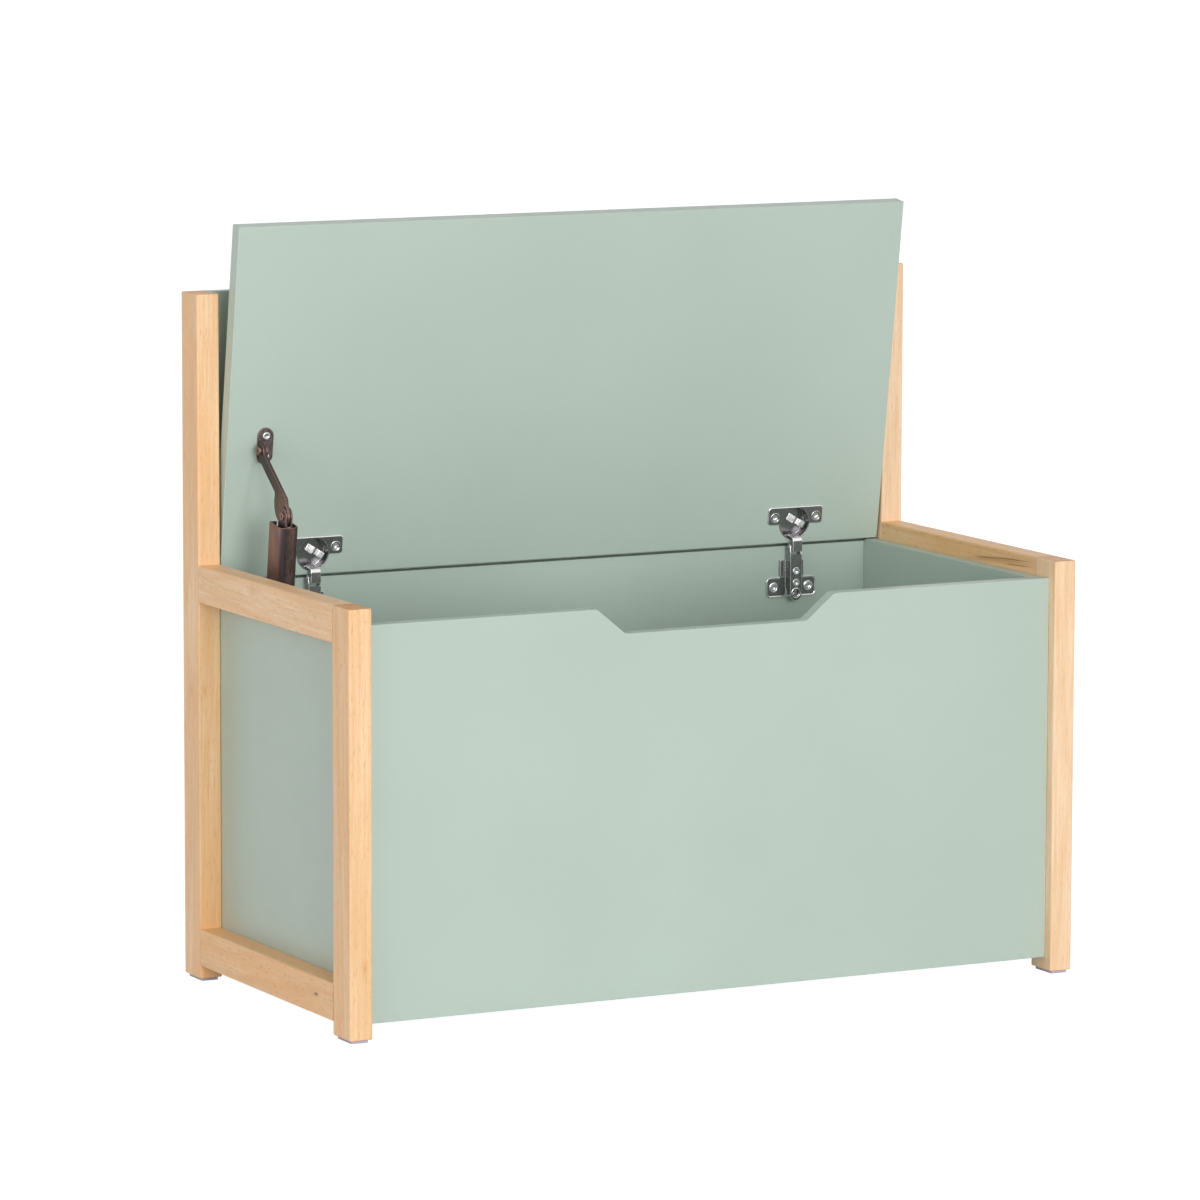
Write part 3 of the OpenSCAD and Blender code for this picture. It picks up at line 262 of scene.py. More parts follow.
def timber_finish(name, grain, seed, warmth, figure, knots=(), streaks=()):
    """Lacquered pale timber: wavy growth lines, fibres, pores, knots and darker end grain.

    The seed moves the pattern, warmth makes it more orange and figure makes it more marked.
    """
    colours = bpy.context.scene.bench_finishes
    f = Finish(name)
    at = (0.071 * seed, 0.053 * seed + 0.03, 0.037 * seed)
    light = blended(colours.timber_pale, colours.timber_warm, warmth)
    dark = blended(light, colours.timber_dark, 0.8)
    sway = f.add("ShaderNodeTexNoise", {
        "Vector": f.placed(along(grain, 5), at=at), "Scale": 22.0, "Detail": 2.0,
    }).outputs["Color"]
    offset = f.vector("SCALE", f.vector("SUBTRACT", sway, (0.5, 0.5, 0.5)).outputs[0])
    offset.inputs["Scale"].default_value = GRAIN_SWAY
    swayed = f.vector("ADD", f.source["Object"], offset.outputs[0]).outputs[0]
    aside = RING_CENTRE + RING_CENTRE_STEP * seed
    centre = tuple(0.0 if axis == grain else aside for axis in AXES)
    rings = f.add("ShaderNodeTexWave", {
        "Vector": f.placed(along(grain, 9), (0.02, 0.03, 0.02), centre, swayed), "Scale": 62.0,
        "Distortion": 2.5, "Detail": 2.0, "Detail Scale": 1.2,
    }, wave_type="RINGS", rings_direction=grain).outputs[1]
    bands = f.noise(f.placed(along(grain, 14), at=at, vector=swayed), 80, 3, 0.55)
    fibres = f.noise(f.placed(along(grain, 26), at=at), 360, 6, 0.75)
    flecks = f.noise(f.placed(along(grain, 5), at=at, vector=swayed), 480, 3, 0.6)
    pores = f.noise(f.placed(along(grain, 9), at=at), 1100, 2, 0.5)
    patches = f.noise(f.placed(along(grain, 7), at=at), 38, 2, 0.5)
    base = f.mix(f.range(bands, 0.35, 0.66, 0, 0.8), light, dark)
    fade = f.range(patches, 0.4, 0.62, 0.15, 1.0)
    lines = f.math("MULTIPLY", f.range(rings, 0.55, 1.0, 0, min(1.0, 1.4 * figure)), fade)
    base = f.mix(lines, base, GROWTH_LINE)
    orange = blended(light, HONEY, 0.15 + 0.7 * warmth)
    base = f.mix(f.range(patches, 0.45, 0.62, 0, 0.8), base, orange)
    base = f.mix(f.range(fibres, 0.42, 0.66, 0, 0.75), base, dark)
    base = f.mix(f.range(fibres, 0.25, 0.4, 0.4, 0), base, toned(light, 1.06))
    base = f.mix(f.range(flecks, 0.56, 0.68, 0, 0.05 + figure), base, FLECK)
    pore_mask = f.range(pores, 0.64, 0.74, 0, 0.3)
    base = f.mix(pore_mask, base, PORE)
    for place, size, depth in knots:
        span = tuple(part * size for part in along(grain, 2.6))
        reach = f.vector("LENGTH", f.placed(span, at=place)).outputs["Value"]
        base = f.mix(f.range(reach, 0.8, 3.4, 0.35, 0), base, KNOT_RING)
        base = f.mix(f.range(reach, 0.5, 1.2, depth, 0), base, colours.heartwood)
    for place, run, width, depth in streaks:
        span = tuple(part * width for part in along(grain, run / width))
        reach = f.vector("LENGTH", f.placed(span, (-0.05, 0, 0), place, swayed)).outputs["Value"]
        base = f.mix(f.range(reach, 0.3, 1.0, depth, 0), base, colours.heartwood)
    facing = f.add("ShaderNodeSeparateXYZ", {"Vector": f.source["Normal"]}).outputs[grain]
    ends = f.math("GREATER_THAN", f.math("ABSOLUTE", facing), 0.8)
    end_tint = f.mix(f.range(bands, 0.4, 0.65, 0, 1), END_PALE, END_DARK)
    base = f.mix(ends, base, f.mix(1.0, base, end_tint, "MULTIPLY"))
    relief = f.math("SUBTRACT", fibres, f.math("MULTIPLY", pore_mask, 0.9))
    return f.set(Base_Color=base, Roughness=f.range(fibres, 0.3, 0.7, 0.36, 0.5),
                 Normal=f.bump(relief, 0.00012, 0.6))


def paint_finish():
    """Satin paint with a trace of roller texture and faint handling marks."""
    colours = bpy.context.scene.bench_finishes
    f = Finish("green_paint")
    cloud = f.noise(f.placed(), 5, 2)
    peel = f.noise(f.placed(), 620, 2, 0.5)
    fine = f.noise(f.placed(), 60, 4, 0.6)
    base = f.mix(f.range(cloud, 0.35, 0.65, 0, 1), colours.paint, toned(colours.paint, 0.965))
    base = f.mix(f.range(fine, 0.55, 0.75, 0, 0.25), base, toned(colours.paint, 0.95))
    return f.set(Base_Color=base, Roughness=f.range(fine, 0.3, 0.7, 0.33, 0.42),
                 Normal=f.bump(peel, 0.00007, 0.3))


def nickel_finish():
    """Nickel plate on pressed steel, with a fine matt speckle and handling marks."""
    colours = bpy.context.scene.bench_finishes
    f = Finish("nickel")
    cloud = f.noise(f.placed(), 150, 3)
    speckle = f.noise(f.placed(), 1500, 2, 0.6)
    marks = f.noise(f.placed((1, 12, 1), (0.3, 0.2, 0.5)), 2600, 2, 0.6)
    base = f.mix(f.range(speckle, 0.35, 0.65, 0, 0.6), colours.nickel, NICKEL_SPECK)
    base = f.mix(f.range(marks, 0.55, 0.8, 0, 0.3), base, NICKEL_MARK)
    base = f.mix(f.range(cloud, 0.4, 0.7, 0, 0.4), base, NICKEL_CLOUD)
    return f.set(Base_Color=base, Metallic=0.8, Roughness=f.range(cloud, 0.3, 0.7, 0.14, 0.28),
                 Normal=f.bump(marks, 0.00003, 0.5))


def bright_finish(name, tint, shade, low, high):
    """Bright metal of screws and fittings, with its lowest and highest roughness. As the hinges'
    bright nickel it is also a painted highlight on edges, rims and upward faces.
    """
    f = Finish(name)
    cloud = f.noise(f.placed(), 420, 3)
    base = f.mix(f.range(cloud, 0.3, 0.7, 0, 0.45), tint, shade)
    return f.set(Base_Color=base, Metallic=0.85, Roughness=f.range(cloud, 0.3, 0.7, low, high),
                 Normal=f.bump(cloud, 0.00004, 0.4))


def bronze_finish(name, turn, run, copper, rubbed, rings_at=None, corner=None):
    """Dark rubbed bronze: streaks along the brushing, copper where it is worn.

    Rings_at is the middle of turned rings. With a corner, which is the X of the left side, the left
    face is more copper, painted light mixed with the worn pattern, and the front face beside it is
    dark, a painted shade.
    """
    colours = bpy.context.scene.bench_finishes
    f = Finish(name)
    streaks = f.noise(f.placed((1, 1, run), turn), 560, 4, 0.7)
    worn = f.noise(f.placed((1, 1, run / 6), turn), 110, 3, 0.6)
    base = f.mix(f.range(streaks, 0.36, 0.66, 0, 0.8), colours.bronze, rubbed)
    base = f.mix(f.range(worn, 0.44, 0.7, 0, copper), base, colours.copper)
    base = f.mix(f.range(streaks, 0.3, 0.42, 0.5, 0), base, BRONZE_GAP)
    if corner is not None:
        normal = f.add("ShaderNodeSeparateXYZ", {"Vector": f.source["Normal"]}).outputs
        across = f.add("ShaderNodeSeparateXYZ", {"Vector": f.source["Object"]}).outputs["X"]
        # Painted light: the left face is made more copper, mixed with the worn pattern
        left = f.range(normal["X"], -0.7, -0.2, 0.4, 0)
        worn_and_lit_left = f.math("MULTIPLY", left, f.range(worn, 0.3, 0.6, 0.4, 1))
        base = f.mix(worn_and_lit_left, base, colours.copper)
        # Painted shade: the front face is darker beside the left corner
        front = f.range(normal["Y"], -0.8, -0.4, 0.75, 0)
        beside = f.range(across, corner + DARK_BESIDE, corner + CLEAR_BESIDE, 1, 0)
        base = f.mix(f.math("MULTIPLY", front, beside), base, BRONZE_FRONT_PAINTED_SHADE)
    if rings_at is not None:
        flat = f.vector("MULTIPLY", f.placed(at=rings_at), (0, 1, 1)).outputs[0]
        reach = f.vector("LENGTH", flat).outputs["Value"]
        rings = f.add("ShaderNodeTexNoise", {"W": reach, "Scale": 900.0, "Detail": 3.0},
                      noise_dimensions="1D").outputs[0]
        near = f.range(reach, 16 * MM, 30 * MM, 1, 0)
        ringed = f.mix(f.range(rings, 0.35, 0.65, 0, 1), BRONZE_RING, BRONZE_RING_PALE)
        base = f.mix(f.math("MULTIPLY", near, 0.8), base, ringed)
    return f.set(Base_Color=base, Metallic=0.7, Roughness=f.range(streaks, 0.3, 0.7, 0.32, 0.5),
                 Normal=f.bump(streaks, 0.00008, 0.6))


def beech_finish():
    """Plain beech of the dowels, with its short flecks."""
    f = Finish("dowel_beech")
    fleck = f.noise(f.placed((1, 8, 1)), 700, 3, 0.6)
    base = f.mix(f.range(fleck, 0.45, 0.7, 0, 0.7), BEECH, BEECH_FLECK)
    return f.set(Base_Color=base, Roughness=f.range(fleck, 0.3, 0.7, 0.5, 0.65),
                 Normal=f.bump(fleck, 0.0001, 0.5))


def pad_finish():
    """Matt plastic foot pads."""
    colours = bpy.context.scene.bench_finishes
    f = Finish("foot_pad")
    mould = f.noise(f.placed(), 1500, 2, 0.6)
    base = f.mix(f.range(mould, 0.35, 0.65, 0, 1), colours.pad, toned(colours.pad, 0.8))
    return f.set(Base_Color=base, Roughness=f.range(mould, 0.3, 0.7, 0.6, 0.8),
                 Normal=f.bump(mould, 0.0001, 0.5))


# Shared ways to make a piece

# Distances under which points are the same, touch, or lie in a plane
SAME_POINT = 2e-6
TOUCHING = 0.05 * MM
NEAR = 0.1 * MM

# Cosines of the angle to a direction for a face that is level with it, faces it or looks up
LEVEL = 0.9999
FACING = 0.99
LOOKS_UP = 0.25
SHADING_ANGLE = math.radians(38)
SHARP_ANGLE = math.radians(40)
FLAT_ANGLE = math.radians(1)

# A face with more corners is filled again, or is a screw's round top
SMALL_FACE = 5
SQUARE_FACE = 8
LATHE_STEPS = 32

# Past this share of a ring's crest its faces belong to the outer slope
CREST_SHARE = 0.97

# A cross recess against its screw's head: reach and half width of an arm, and the floor's size
CROSS_REACH = 0.62
CROSS_ARM = 0.15
CROSS_FLOOR = 0.72
CROSS_TURN = 0.35
CROSS_TURN_STEP = 0.61
SCREW_DOME = 0.25 * MM


def finished(bm, name, body, material, stands_for=(), edge_material=None):
    """Puts a bmesh in the scene as a named piece that rides on a body."""
    mesh = bpy.data.meshes.new(name)
    bm.to_mesh(mesh)
    bm.free()
    mesh.polygons.foreach_set("use_smooth", [True] * len(mesh.polygons))
    mesh.set_sharp_from_angle(angle=SHADING_ANGLE)
    mesh.materials.append(material)
    if edge_material:
        mesh.materials.append(edge_material)
    piece = bpy.data.objects.new(name, mesh)
    bpy.context.scene.collection.objects.link(piece)
    even = piece.modifiers.new("even_shading", "WEIGHTED_NORMAL")
    even.keep_sharp = True
    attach(piece, body)
    if stands_for:
        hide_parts(*stands_for)
    return piece


def body_named(node):
    """The body that carries a CAD node."""
    return body_of(frame["nodes"][node])[0]


def merged_copy(node):
    """A CAD node as a bmesh, with its loose triangles joined and its flat faces whole."""
    bm = bmesh.new()
    bm.from_mesh(frame["nodes"][node].data)
    bmesh.ops.remove_doubles(bm, verts=bm.verts, dist=SAME_POINT)
    bmesh.ops.dissolve_limit(bm, angle_limit=FLAT_ANGLE, verts=bm.verts, edges=bm.edges)
    return bm


def round_edges(bm, edges, offset, segments, marked=False):
    """Rounds edges, and gives the new faces the second material if they are marked."""
    made = bmesh.ops.bevel(bm, geom=edges, offset=offset, offset_type="OFFSET", affect="EDGES",
                           segments=segments, profile=0.5, material=-1)
    for face in made["faces"] if marked else ():
        face.material_index = 1


def flat_region(face):
    """A list of a face and those round it that lie in its plane and have its material."""
    region = [face]
    for member in region:
        for edge in member.edges:
            for other in edge.link_faces:
                level = other.normal.dot(face.normal) > LEVEL
                alike = other.material_index == face.material_index
                if level and alike and other not in region:
                    region.append(other)
    return region


def refill(bm):
    """Fills the large flat faces again from their outlines, because rounding can fold them."""
    bm.normal_update()
    for face in [f for f in bm.faces if len(f.verts) > SMALL_FACE]:
        if not face.is_valid:
            continue
        region = flat_region(face)
        inside = set(region)
        normal = face.normal.copy()
        index = face.material_index
        rim = [e for f in region for e in f.edges if len(inside.intersection(e.link_faces)) == 1]
        bmesh.ops.delete(bm, geom=region, context="FACES_KEEP_BOUNDARY")
        made = bmesh.ops.triangle_fill(bm, edges=rim, use_beauty=True, normal=normal)["geom"]
        for part in made:
            if isinstance(part, bmesh.types.BMFace):
                part.material_index = index
    bmesh.ops.recalc_face_normals(bm, faces=bm.faces)


def sharp_edges(bm):
    """The edges that are rounded."""
    return [e for e in bm.edges if e.is_manifold and e.calc_face_angle(0) > SHARP_ANGLE]


def joined_points(bm):
    """Joins an outline's points that almost touch, because its rounded edge would fold there."""
    bmesh.ops.remove_doubles(bm, verts=bm.verts, dist=TOUCHING)


def dressed(node, name, material, edge, segments=2, edge_material=None, form=None):
    """A merged copy of a CAD node, formed and with rounded edges, which stands for the node."""
    bm = merged_copy(node)
    if form:
        form(bm)
    round_edges(bm, sharp_edges(bm), edge, segments, edge_material is not None)
    refill(bm)
    return finished(bm, name, body_named(node), material, (node,), edge_material)


def repaint(node, material):
    """Gives a CAD node a finished material."""
    piece = frame["nodes"][node]
    if not piece.data.materials:
        piece.data.materials.append(material)
    for slot in piece.material_slots:
        slot.material = material


def cut_cross(bm, top, outward, turn, reach, arm, depth):
    """A tapered cross recess in the flat top of a screw's head."""
    centre = top.calc_center_median()
    across = Matrix.Rotation(turn, 3, outward) @ (top.verts[0].co - centre).normalized()
    side = outward.cross(across)
    rim = list(top.edges)
    bmesh.ops.delete(bm, geom=[top], context="FACES_ONLY")
    corners = []
    for quarter in range(4):
        spin = Matrix.Rotation(quarter * math.pi / 2, 3, outward)
        for out, over in ((reach, -arm), (reach, arm), (arm, arm)):
            corners.append(bm.verts.new(centre + spin @ (out * across + over * side)))
    mouth = [bm.edges.new((corners[i - 1], corners[i])) for i in range(len(corners))]
    bmesh.ops.triangle_fill(bm, edges=rim + mouth, use_beauty=True, normal=outward)
    walls = bmesh.ops.extrude_edge_only(bm, edges=mouth)["geom"]
    low = [v for v in walls if isinstance(v, bmesh.types.BMVert)]
    floor = [e for e in walls
             if isinstance(e, bmesh.types.BMEdge) and all(v in low for v in e.verts)]
    bmesh.ops.scale(bm, vec=(CROSS_FLOOR,) * 3, space=Matrix.Translation(-centre), verts=low)
    bmesh.ops.translate(bm, vec=-depth * outward, verts=low)
    bmesh.ops.triangle_fill(bm, edges=floor, use_beauty=True, normal=outward)


def crossed_screws(node, name, material, outward, dome=SCREW_DOME, wider=1.0):
    """A node's screws with rounded heads and cross recesses, which stand for the plain ones."""
    depth = bpy.context.scene.bench_sizes.recess_depth
    bm = merged_copy(node)

    def tops():
        return [f for f in bm.faces
                if f.normal.dot(outward) > FACING and len(f.verts) > SQUARE_FACE]

    for top in tops() if wider != 1.0 else ():
        centre = top.calc_center_median()
        sides = [v for e in top.edges for f in e.link_faces for v in f.verts]
        bmesh.ops.scale(bm, vec=(wider,) * 3, space=Matrix.Translation(-centre),
                        verts=list(set(sides)))
    rims = [e for f in tops() for e in f.edges]
    round_edges(bm, rims, dome, 3)
    for index, top in enumerate(tops()):
        radius = (top.verts[0].co - top.calc_center_median()).length
        turn = CROSS_TURN + CROSS_TURN_STEP * index
        cut_cross(bm, top, outward, turn, CROSS_REACH * radius, CROSS_ARM * radius, depth)
    bmesh.ops.recalc_face_normals(bm, faces=bm.faces)
    return finished(bm, name, body_named(node), material, (node,))


def rounded_block(size, edge):
    """A bmesh block round the origin with rounded edges."""
    bm = bmesh.new()
    bmesh.ops.create_cube(bm, size=1.0)
    bmesh.ops.scale(bm, vec=size, verts=bm.verts)
    round_edges(bm, list(bm.edges), edge, 3)
    return bm


def turned(bm, section, inner, place):
    """Adds a ring turned from a section of widths past the inner radius and heights, in mm.

    Its outer slope takes the second material, which here is the bright nickel as a painted
    highlight.
    """
    old = set(bm.verts)
    points = [bm.verts.new(((inner + out) * MM, 0, height * MM)) for out, height in section]
    edges = [bm.edges.new((points[i - 1], points[i])) for i in range(len(points))]
    bmesh.ops.spin(bm, geom=points + edges, cent=(0, 0, 0), axis=(0, 0, 1), dvec=(0, 0, 0),
                   angle=2 * math.pi, steps=LATHE_STEPS, use_merge=True)
    bmesh.ops.remove_doubles(bm, verts=[v for v in bm.verts if v not in old], dist=SAME_POINT)
    new = [v for v in bm.verts if v not in old]
    faces = {f for v in new for f in v.link_faces}
    crest = (inner + max(section, key=lambda point: point[1])[0]) * MM
    for face in faces:
        outer = face.calc_center_median().xy.length > CREST_SHARE * crest
        face.material_index = int(outer)
    bmesh.ops.recalc_face_normals(bm, faces=list(faces))
    bmesh.ops.transform(bm, matrix=place, verts=new)


# Timber frame

# Grain axis, seed, warmth, figure, knots (place, size, depth), streaks (place, run, width, depth)
TIMBER = {
    "left_front_post": ("Z", 1, 0.6, 0.4, [((-0.3841, -0.1925, 0.0723), 0.0014, 0.12)]),
    "right_front_post": ("Z", 2, 0.05, 0.12),
    "left_back_post": ("Z", 3, 0.6, 0.35, [((-0.3934, 0.1545, 0.2922), 0.0012, 0.1),
                                           ((-0.4, 0.1713, 0.2913), 0.001, 0.05)]),
    "right_back_post": ("Z", 4, 0.0, 0.2),
    "left_arm_rail": ("Y", 5, 0.4, 0.4, [((-0.4, 0.0247, 0.4095), 0.0022, 0.05)]),
    "right_arm_rail": ("Y", 6, 0.8, 0.45, (), [((0.376, -0.078, 0.408), 0.082, 0.0009, 1.0),
                                               ((0.376, -0.118, 0.4045), 0.036, 0.0007, 0.9),
                                               ((0.376, -0.08, 0.4065), 0.09, 0.0045, 0.3),
                                               ((0.376, 0.06, 0.397), 0.08, 0.003, 0.25)]),
    "left_bottom_rail": ("Y", 7, 0.75, 0.6, [((-0.4, -0.1167, 0.0361), 0.0015, 1.0)]),
    "right_bottom_rail": ("Y", 8, 0.5, 0.3),
}


class BENCH_OT_timber_frame(bpy.types.Operator):
    """Finish the posts, rails, dowels and foot pads"""
    bl_idname = "bench.timber_frame"
    bl_label = "Timber Frame"

    def execute(self, context):
        edge = context.scene.bench_sizes.timber_edge
        for node, settings in TIMBER.items():
            timber = timber_finish("timber_" + node, *settings)
            dressed(node, node + "_timber", timber, edge)
        beech = beech_finish()
        repaint("frame_dowels", beech)
        repaint("panel_dowels", beech)
        dressed("foot_pads", "foot_pads_moulded", pad_finish(), edge)
        return {"FINISHED"}


# Painted boards

BOARDS = ("left_side_panel", "right_side_panel", "front_panel", "back_panel", "bottom_panel",
          "backrest_panel", "lid_panel")


class BENCH_OT_painted_boards(bpy.types.Operator):
    """Finish the box's boards, the backrest and the lid"""
    bl_idname = "bench.painted_boards"
    bl_label = "Painted Boards"

    def execute(self, context):
        edge = context.scene.bench_sizes.board_edge
        paint = paint_finish()
        for node in BOARDS:
            dressed(node, node + "_painted", paint, edge, segments=3)
        return {"FINISHED"}


# Cup hinges

JOINTS = {joint["name"]: joint for joint in frame["record"]["behaviour"]["joints"]}
LID_POLE = Vector(JOINTS["lid_hinge"]["pos_m"])
LID_OPEN = math.radians(JOINTS["lid_hinge"]["range_deg"][1])
ON_LID = (Matrix.Translation(LID_POLE) @ Matrix.Rotation(-LID_OPEN, 4, "X")
          @ Matrix.Translation(-LID_POLE))
LID_OUTWARD = ON_LID.to_3x3() @ Vector((0, 0, -1))
FORWARD = Vector((0, -1, 0))
HINGE_X = 0.274

# The cup with the lid closed: dish, flange, and a flange screw's distance aside and its Y
DISH_Y = 0.1537
DISH_FLOOR = 0.4115
FLANGE_Y = 0.1453
FLANGE_Z = 0.3987
CUP_SCREW = (0.024, 0.1469)

# Past these distances from the flange's middle an edge belongs to its outline
FLANGE_END = 29 * MM
FLANGE_SIDE = 9 * MM
DISH_ASIDE = 16 * MM
CUP_EDGE = 0.18 * MM

# Front faces of the arm, the mounting plate and its tab's ribs, and the key hole's height
ARM_FACE_Y = 0.1529
PLATE_Y = 0.1635
RIB_Y = 0.162
KEY_Z = 0.34945
PRESSED_SLOPE = 0.3 * MM
PRESSED_DEPTH = 0.35 * MM
RIB_LINE = 1.1 * MM

# Inner radii of the rings, and their sections as width past that radius and height, in mm
DIMPLE_RADIUS = 3.45
DIMPLE = ((0, 0.03), (1.0, 0.34), (1.2, 0.46), (1.5, 0.5), (1.8, 0.36), (1.95, 0), (1.95, -0.1),
          (0, -0.1))
KEY_RADIUS = 4.55
KEY_RING = ((0, 0), (0, 0.25), (0.3, 0.42), (0.65, 0.34), (0.95, 0), (0.95, -0.1), (0, -0.1))

# Blocks in the dish: size and edge in mm, lean in degrees, place from the floor's middle in mm
DISH_BLOCKS = {
    "ramp": ((8.8, 7.8, 3.0), 0.4, 13, (1.6, -2.4, 0.4)),
    "boss": ((7.4, 7.2, 8.6), 0.9, 11, (10.5, 2.6, -4.2)),
}
DISH_TURN = Matrix.Rotation(math.radians(31), 4, "Z")
ADJUSTING_DOME = 0.4 * MM
ADJUSTING_WIDER = 1.22


def plated_cup(side, x, nickel, nickel_for_screws_and_highlight):
    """The cup with the flange's outline rounded wider than its other edges; all the rounded faces
    take the bright nickel as a painted highlight.
    """
    sizes = bpy.context.scene.bench_sizes
    node = side + "_hinge_cup"
    bm = merged_copy(node)
    flat = ON_LID.inverted()

    def on_outline(edge):
        middle = flat @ ((edge.verts[0].co + edge.verts[1].co) / 2)
        outward = any(face.normal.dot(LID_OUTWARD) > FACING for face in edge.link_faces)
        aside = abs(middle.x - x)
        over = middle.y - FLANGE_Y
        far_side = aside > DISH_ASIDE and over > FLANGE_SIDE
        at_edge = aside > FLANGE_END or over < -FLANGE_SIDE or far_side
        return outward and abs(middle.z - FLANGE_Z) < NEAR and at_edge

    corners = sharp_edges(bm)
    outline = [e for e in corners if on_outline(e)]
    others = [e for e in corners if e not in outline]
    # Painted highlight on the rounded outline and on the other rounded edges
    round_edges(bm, outline, sizes.flange_edge, 4, True)
    others = [e for e in others if e.is_valid]
    round_edges(bm, others, CUP_EDGE, 2, True)
    refill(bm)
    return finished(bm, node + "_plated", body_named(node), nickel, (node,), nickel_for_screws_and_highlight)


def front_faces(bm, y):
    """The faces that look forward at a distance back."""
    return [f for f in bm.faces
            if f.normal.dot(FORWARD) > FACING and abs(f.calc_center_median().y - y) < NEAR]


def raised_border(bm):
    """Presses the mounting plate's face in, which leaves raised borders and screw rings, and gives
    the borders, their slopes and the rib lines the bright nickel as a painted highlight.
    """
    face = front_faces(bm, PLATE_Y)
    width = bpy.context.scene.bench_sizes.border
    level = bmesh.ops.inset_region(bm, faces=face, thickness=width, use_even_offset=True)
    slope = bmesh.ops.inset_region(bm, faces=face, thickness=PRESSED_SLOPE,
                                   depth=-PRESSED_DEPTH, use_even_offset=True)
    lines = bmesh.ops.inset_individual(bm, faces=front_faces(bm, RIB_Y), thickness=RIB_LINE)
    # Painted highlight on the borders, slopes and rib lines
    for ring in level["faces"] + slope["faces"] + lines["faces"]:
        ring.material_index = 1


def painted_highlight_on_bend(bm):
    """Gives the bright nickel, as a painted highlight, to the faces of the link's bend that look
    up.
    """
    for face in bm.faces:
        # Painted highlight on the faces that look up
        face.material_index = int(face.normal.z > LOOKS_UP)


def rings_with_painted_highlight(side, x, nickel, nickel_for_screws_and_highlight):
    """The dimples' rims round the cup's screws, with a painted highlight on their outer slopes, and
    the rim of the arm's key hole, all in painted highlight.
    """
    rims = bmesh.new()
    for way in (-1, 1):
        place = Matrix.Translation((x + way * CUP_SCREW[0], CUP_SCREW[1], FLANGE_Z))
        turned(rims, DIMPLE, DIMPLE_RADIUS, ON_LID @ place @ Matrix.Rotation(math.pi, 4, "X"))
    body = body_named(side + "_hinge_cup")
    finished(rims, side + "_dimple_rims", body, nickel, (), nickel_for_screws_and_highlight)
    rim = bmesh.new()
    place = Matrix.Translation((x, ARM_FACE_Y, KEY_Z))
    turned(rim, KEY_RING, KEY_RADIUS, place @ Matrix.Rotation(math.pi / 2, 4, "X"))
    body = body_named(side + "_hinge_arm")
    finished(rim, side + "_key_rim", body, nickel_for_screws_and_highlight, (), nickel_for_screws_and_highlight)


def dish_forms(side, x, material):
    """The low pressed ramp and the square boss in the cup's dish, clear of the link's swing, both
    in the bright nickel as a painted highlight.
    """
    middle = Vector((x, DISH_Y, DISH_FLOOR))
    for form, (size, edge, lean, place) in DISH_BLOCKS.items():
        block = rounded_block(Vector(size) * MM, edge * MM)
        there = ON_LID @ Matrix.Translation(middle + Vector(place) * MM)
        tilt = Matrix.Rotation(math.radians(lean), 4, "Y")
        bmesh.ops.transform(block, matrix=there @ DISH_TURN @ tilt, verts=block.verts)
        finished(block, side + "_dish_" + form, body_named(side + "_hinge_cup"), material)


class BENCH_OT_cup_hinges(bpy.types.Operator):
    """Finish the two cup hinges"""
    bl_idname = "bench.cup_hinges"
    bl_label = "Cup Hinges"

    def execute(self, context):
        sizes = context.scene.bench_sizes
        colours = context.scene.bench_finishes
        nickel = nickel_finish()
        # Bright nickel: a painted highlight on the hinges' edges, rims and upward faces, and the
        # plating of the screws
        nickel_for_screws_and_highlight = bright_finish("bright_nickel_and_painted_highlight", colours.nickel_screw_and_highlight, NICKEL_EDGE_SHADE, 0.16, 0.3)
        zinc = bright_finish("zinc", colours.zinc, ZINC_SHADE, 0.18, 0.32)
        for side, x in (("left", -HINGE_X), ("right", HINGE_X)):
            plated_cup(side, x, nickel, nickel_for_screws_and_highlight)
            for part, form in (("link", painted_highlight_on_bend), ("arm", None), ("plate", raised_border)):
                node = side + "_hinge_" + part
                dressed(node, node + "_plated", nickel, sizes.plate_edge, 3, nickel_for_screws_and_highlight, form)
            rings_with_painted_highlight(side, x, nickel, nickel_for_screws_and_highlight)
            dish_forms(side, x, nickel_for_screws_and_highlight)
        crossed_screws("hinge_cup_screws", "cup_screws_crossed", nickel_for_screws_and_highlight, LID_OUTWARD)
        crossed_screws("hinge_plate_screws", "plate_screws_crossed", nickel_for_screws_and_highlight, FORWARD)
        crossed_screws("hinge_adjusting_screws", "adjusting_screws_crossed", nickel_for_screws_and_highlight,
                       FORWARD, ADJUSTING_DOME, ADJUSTING_WIDER)
        for node in ("hinge_cup_pins", "hinge_arm_pins", "cam_bolts", "cam_discs"):
            repaint(node, zinc)
        crossed_screws("backrest_screws", "backrest_screws_crossed", zinc, -FORWARD)
        return {"FINISHED"}


# Lid stay

STAY_ELBOW = (-0.3425, 0.0732, 0.4728)
TUBE_LEFT = -0.3505

# Turns of the brushing's direction: along the upright tube and along the arm
UPRIGHT = (math.radians(-7.2), 0, 0)
ARM_LEAN = (math.radians(-43.2), 0, 0)
RIVET_EDGE = 0.2 * MM
LID_SCREW_DOME = 0.9 * MM
LID_SCREW_WIDER = 1.16
RIVETS = ("stay_foot_rivet", "stay_elbow_rivet", "stay_arm_rivet", "stay_lid_rivet")


def wound_spring(material):
    """A merged copy of the stay's spring with a mesh of its own; the real spring shortens towards
    its seat as the plunger comes down on it.
    """
    node = "stay_spring"
    body = body_named(node)
    spring = finished(merged_copy(node), "stay_spring_wound", body, material, (node,))
    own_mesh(spring)


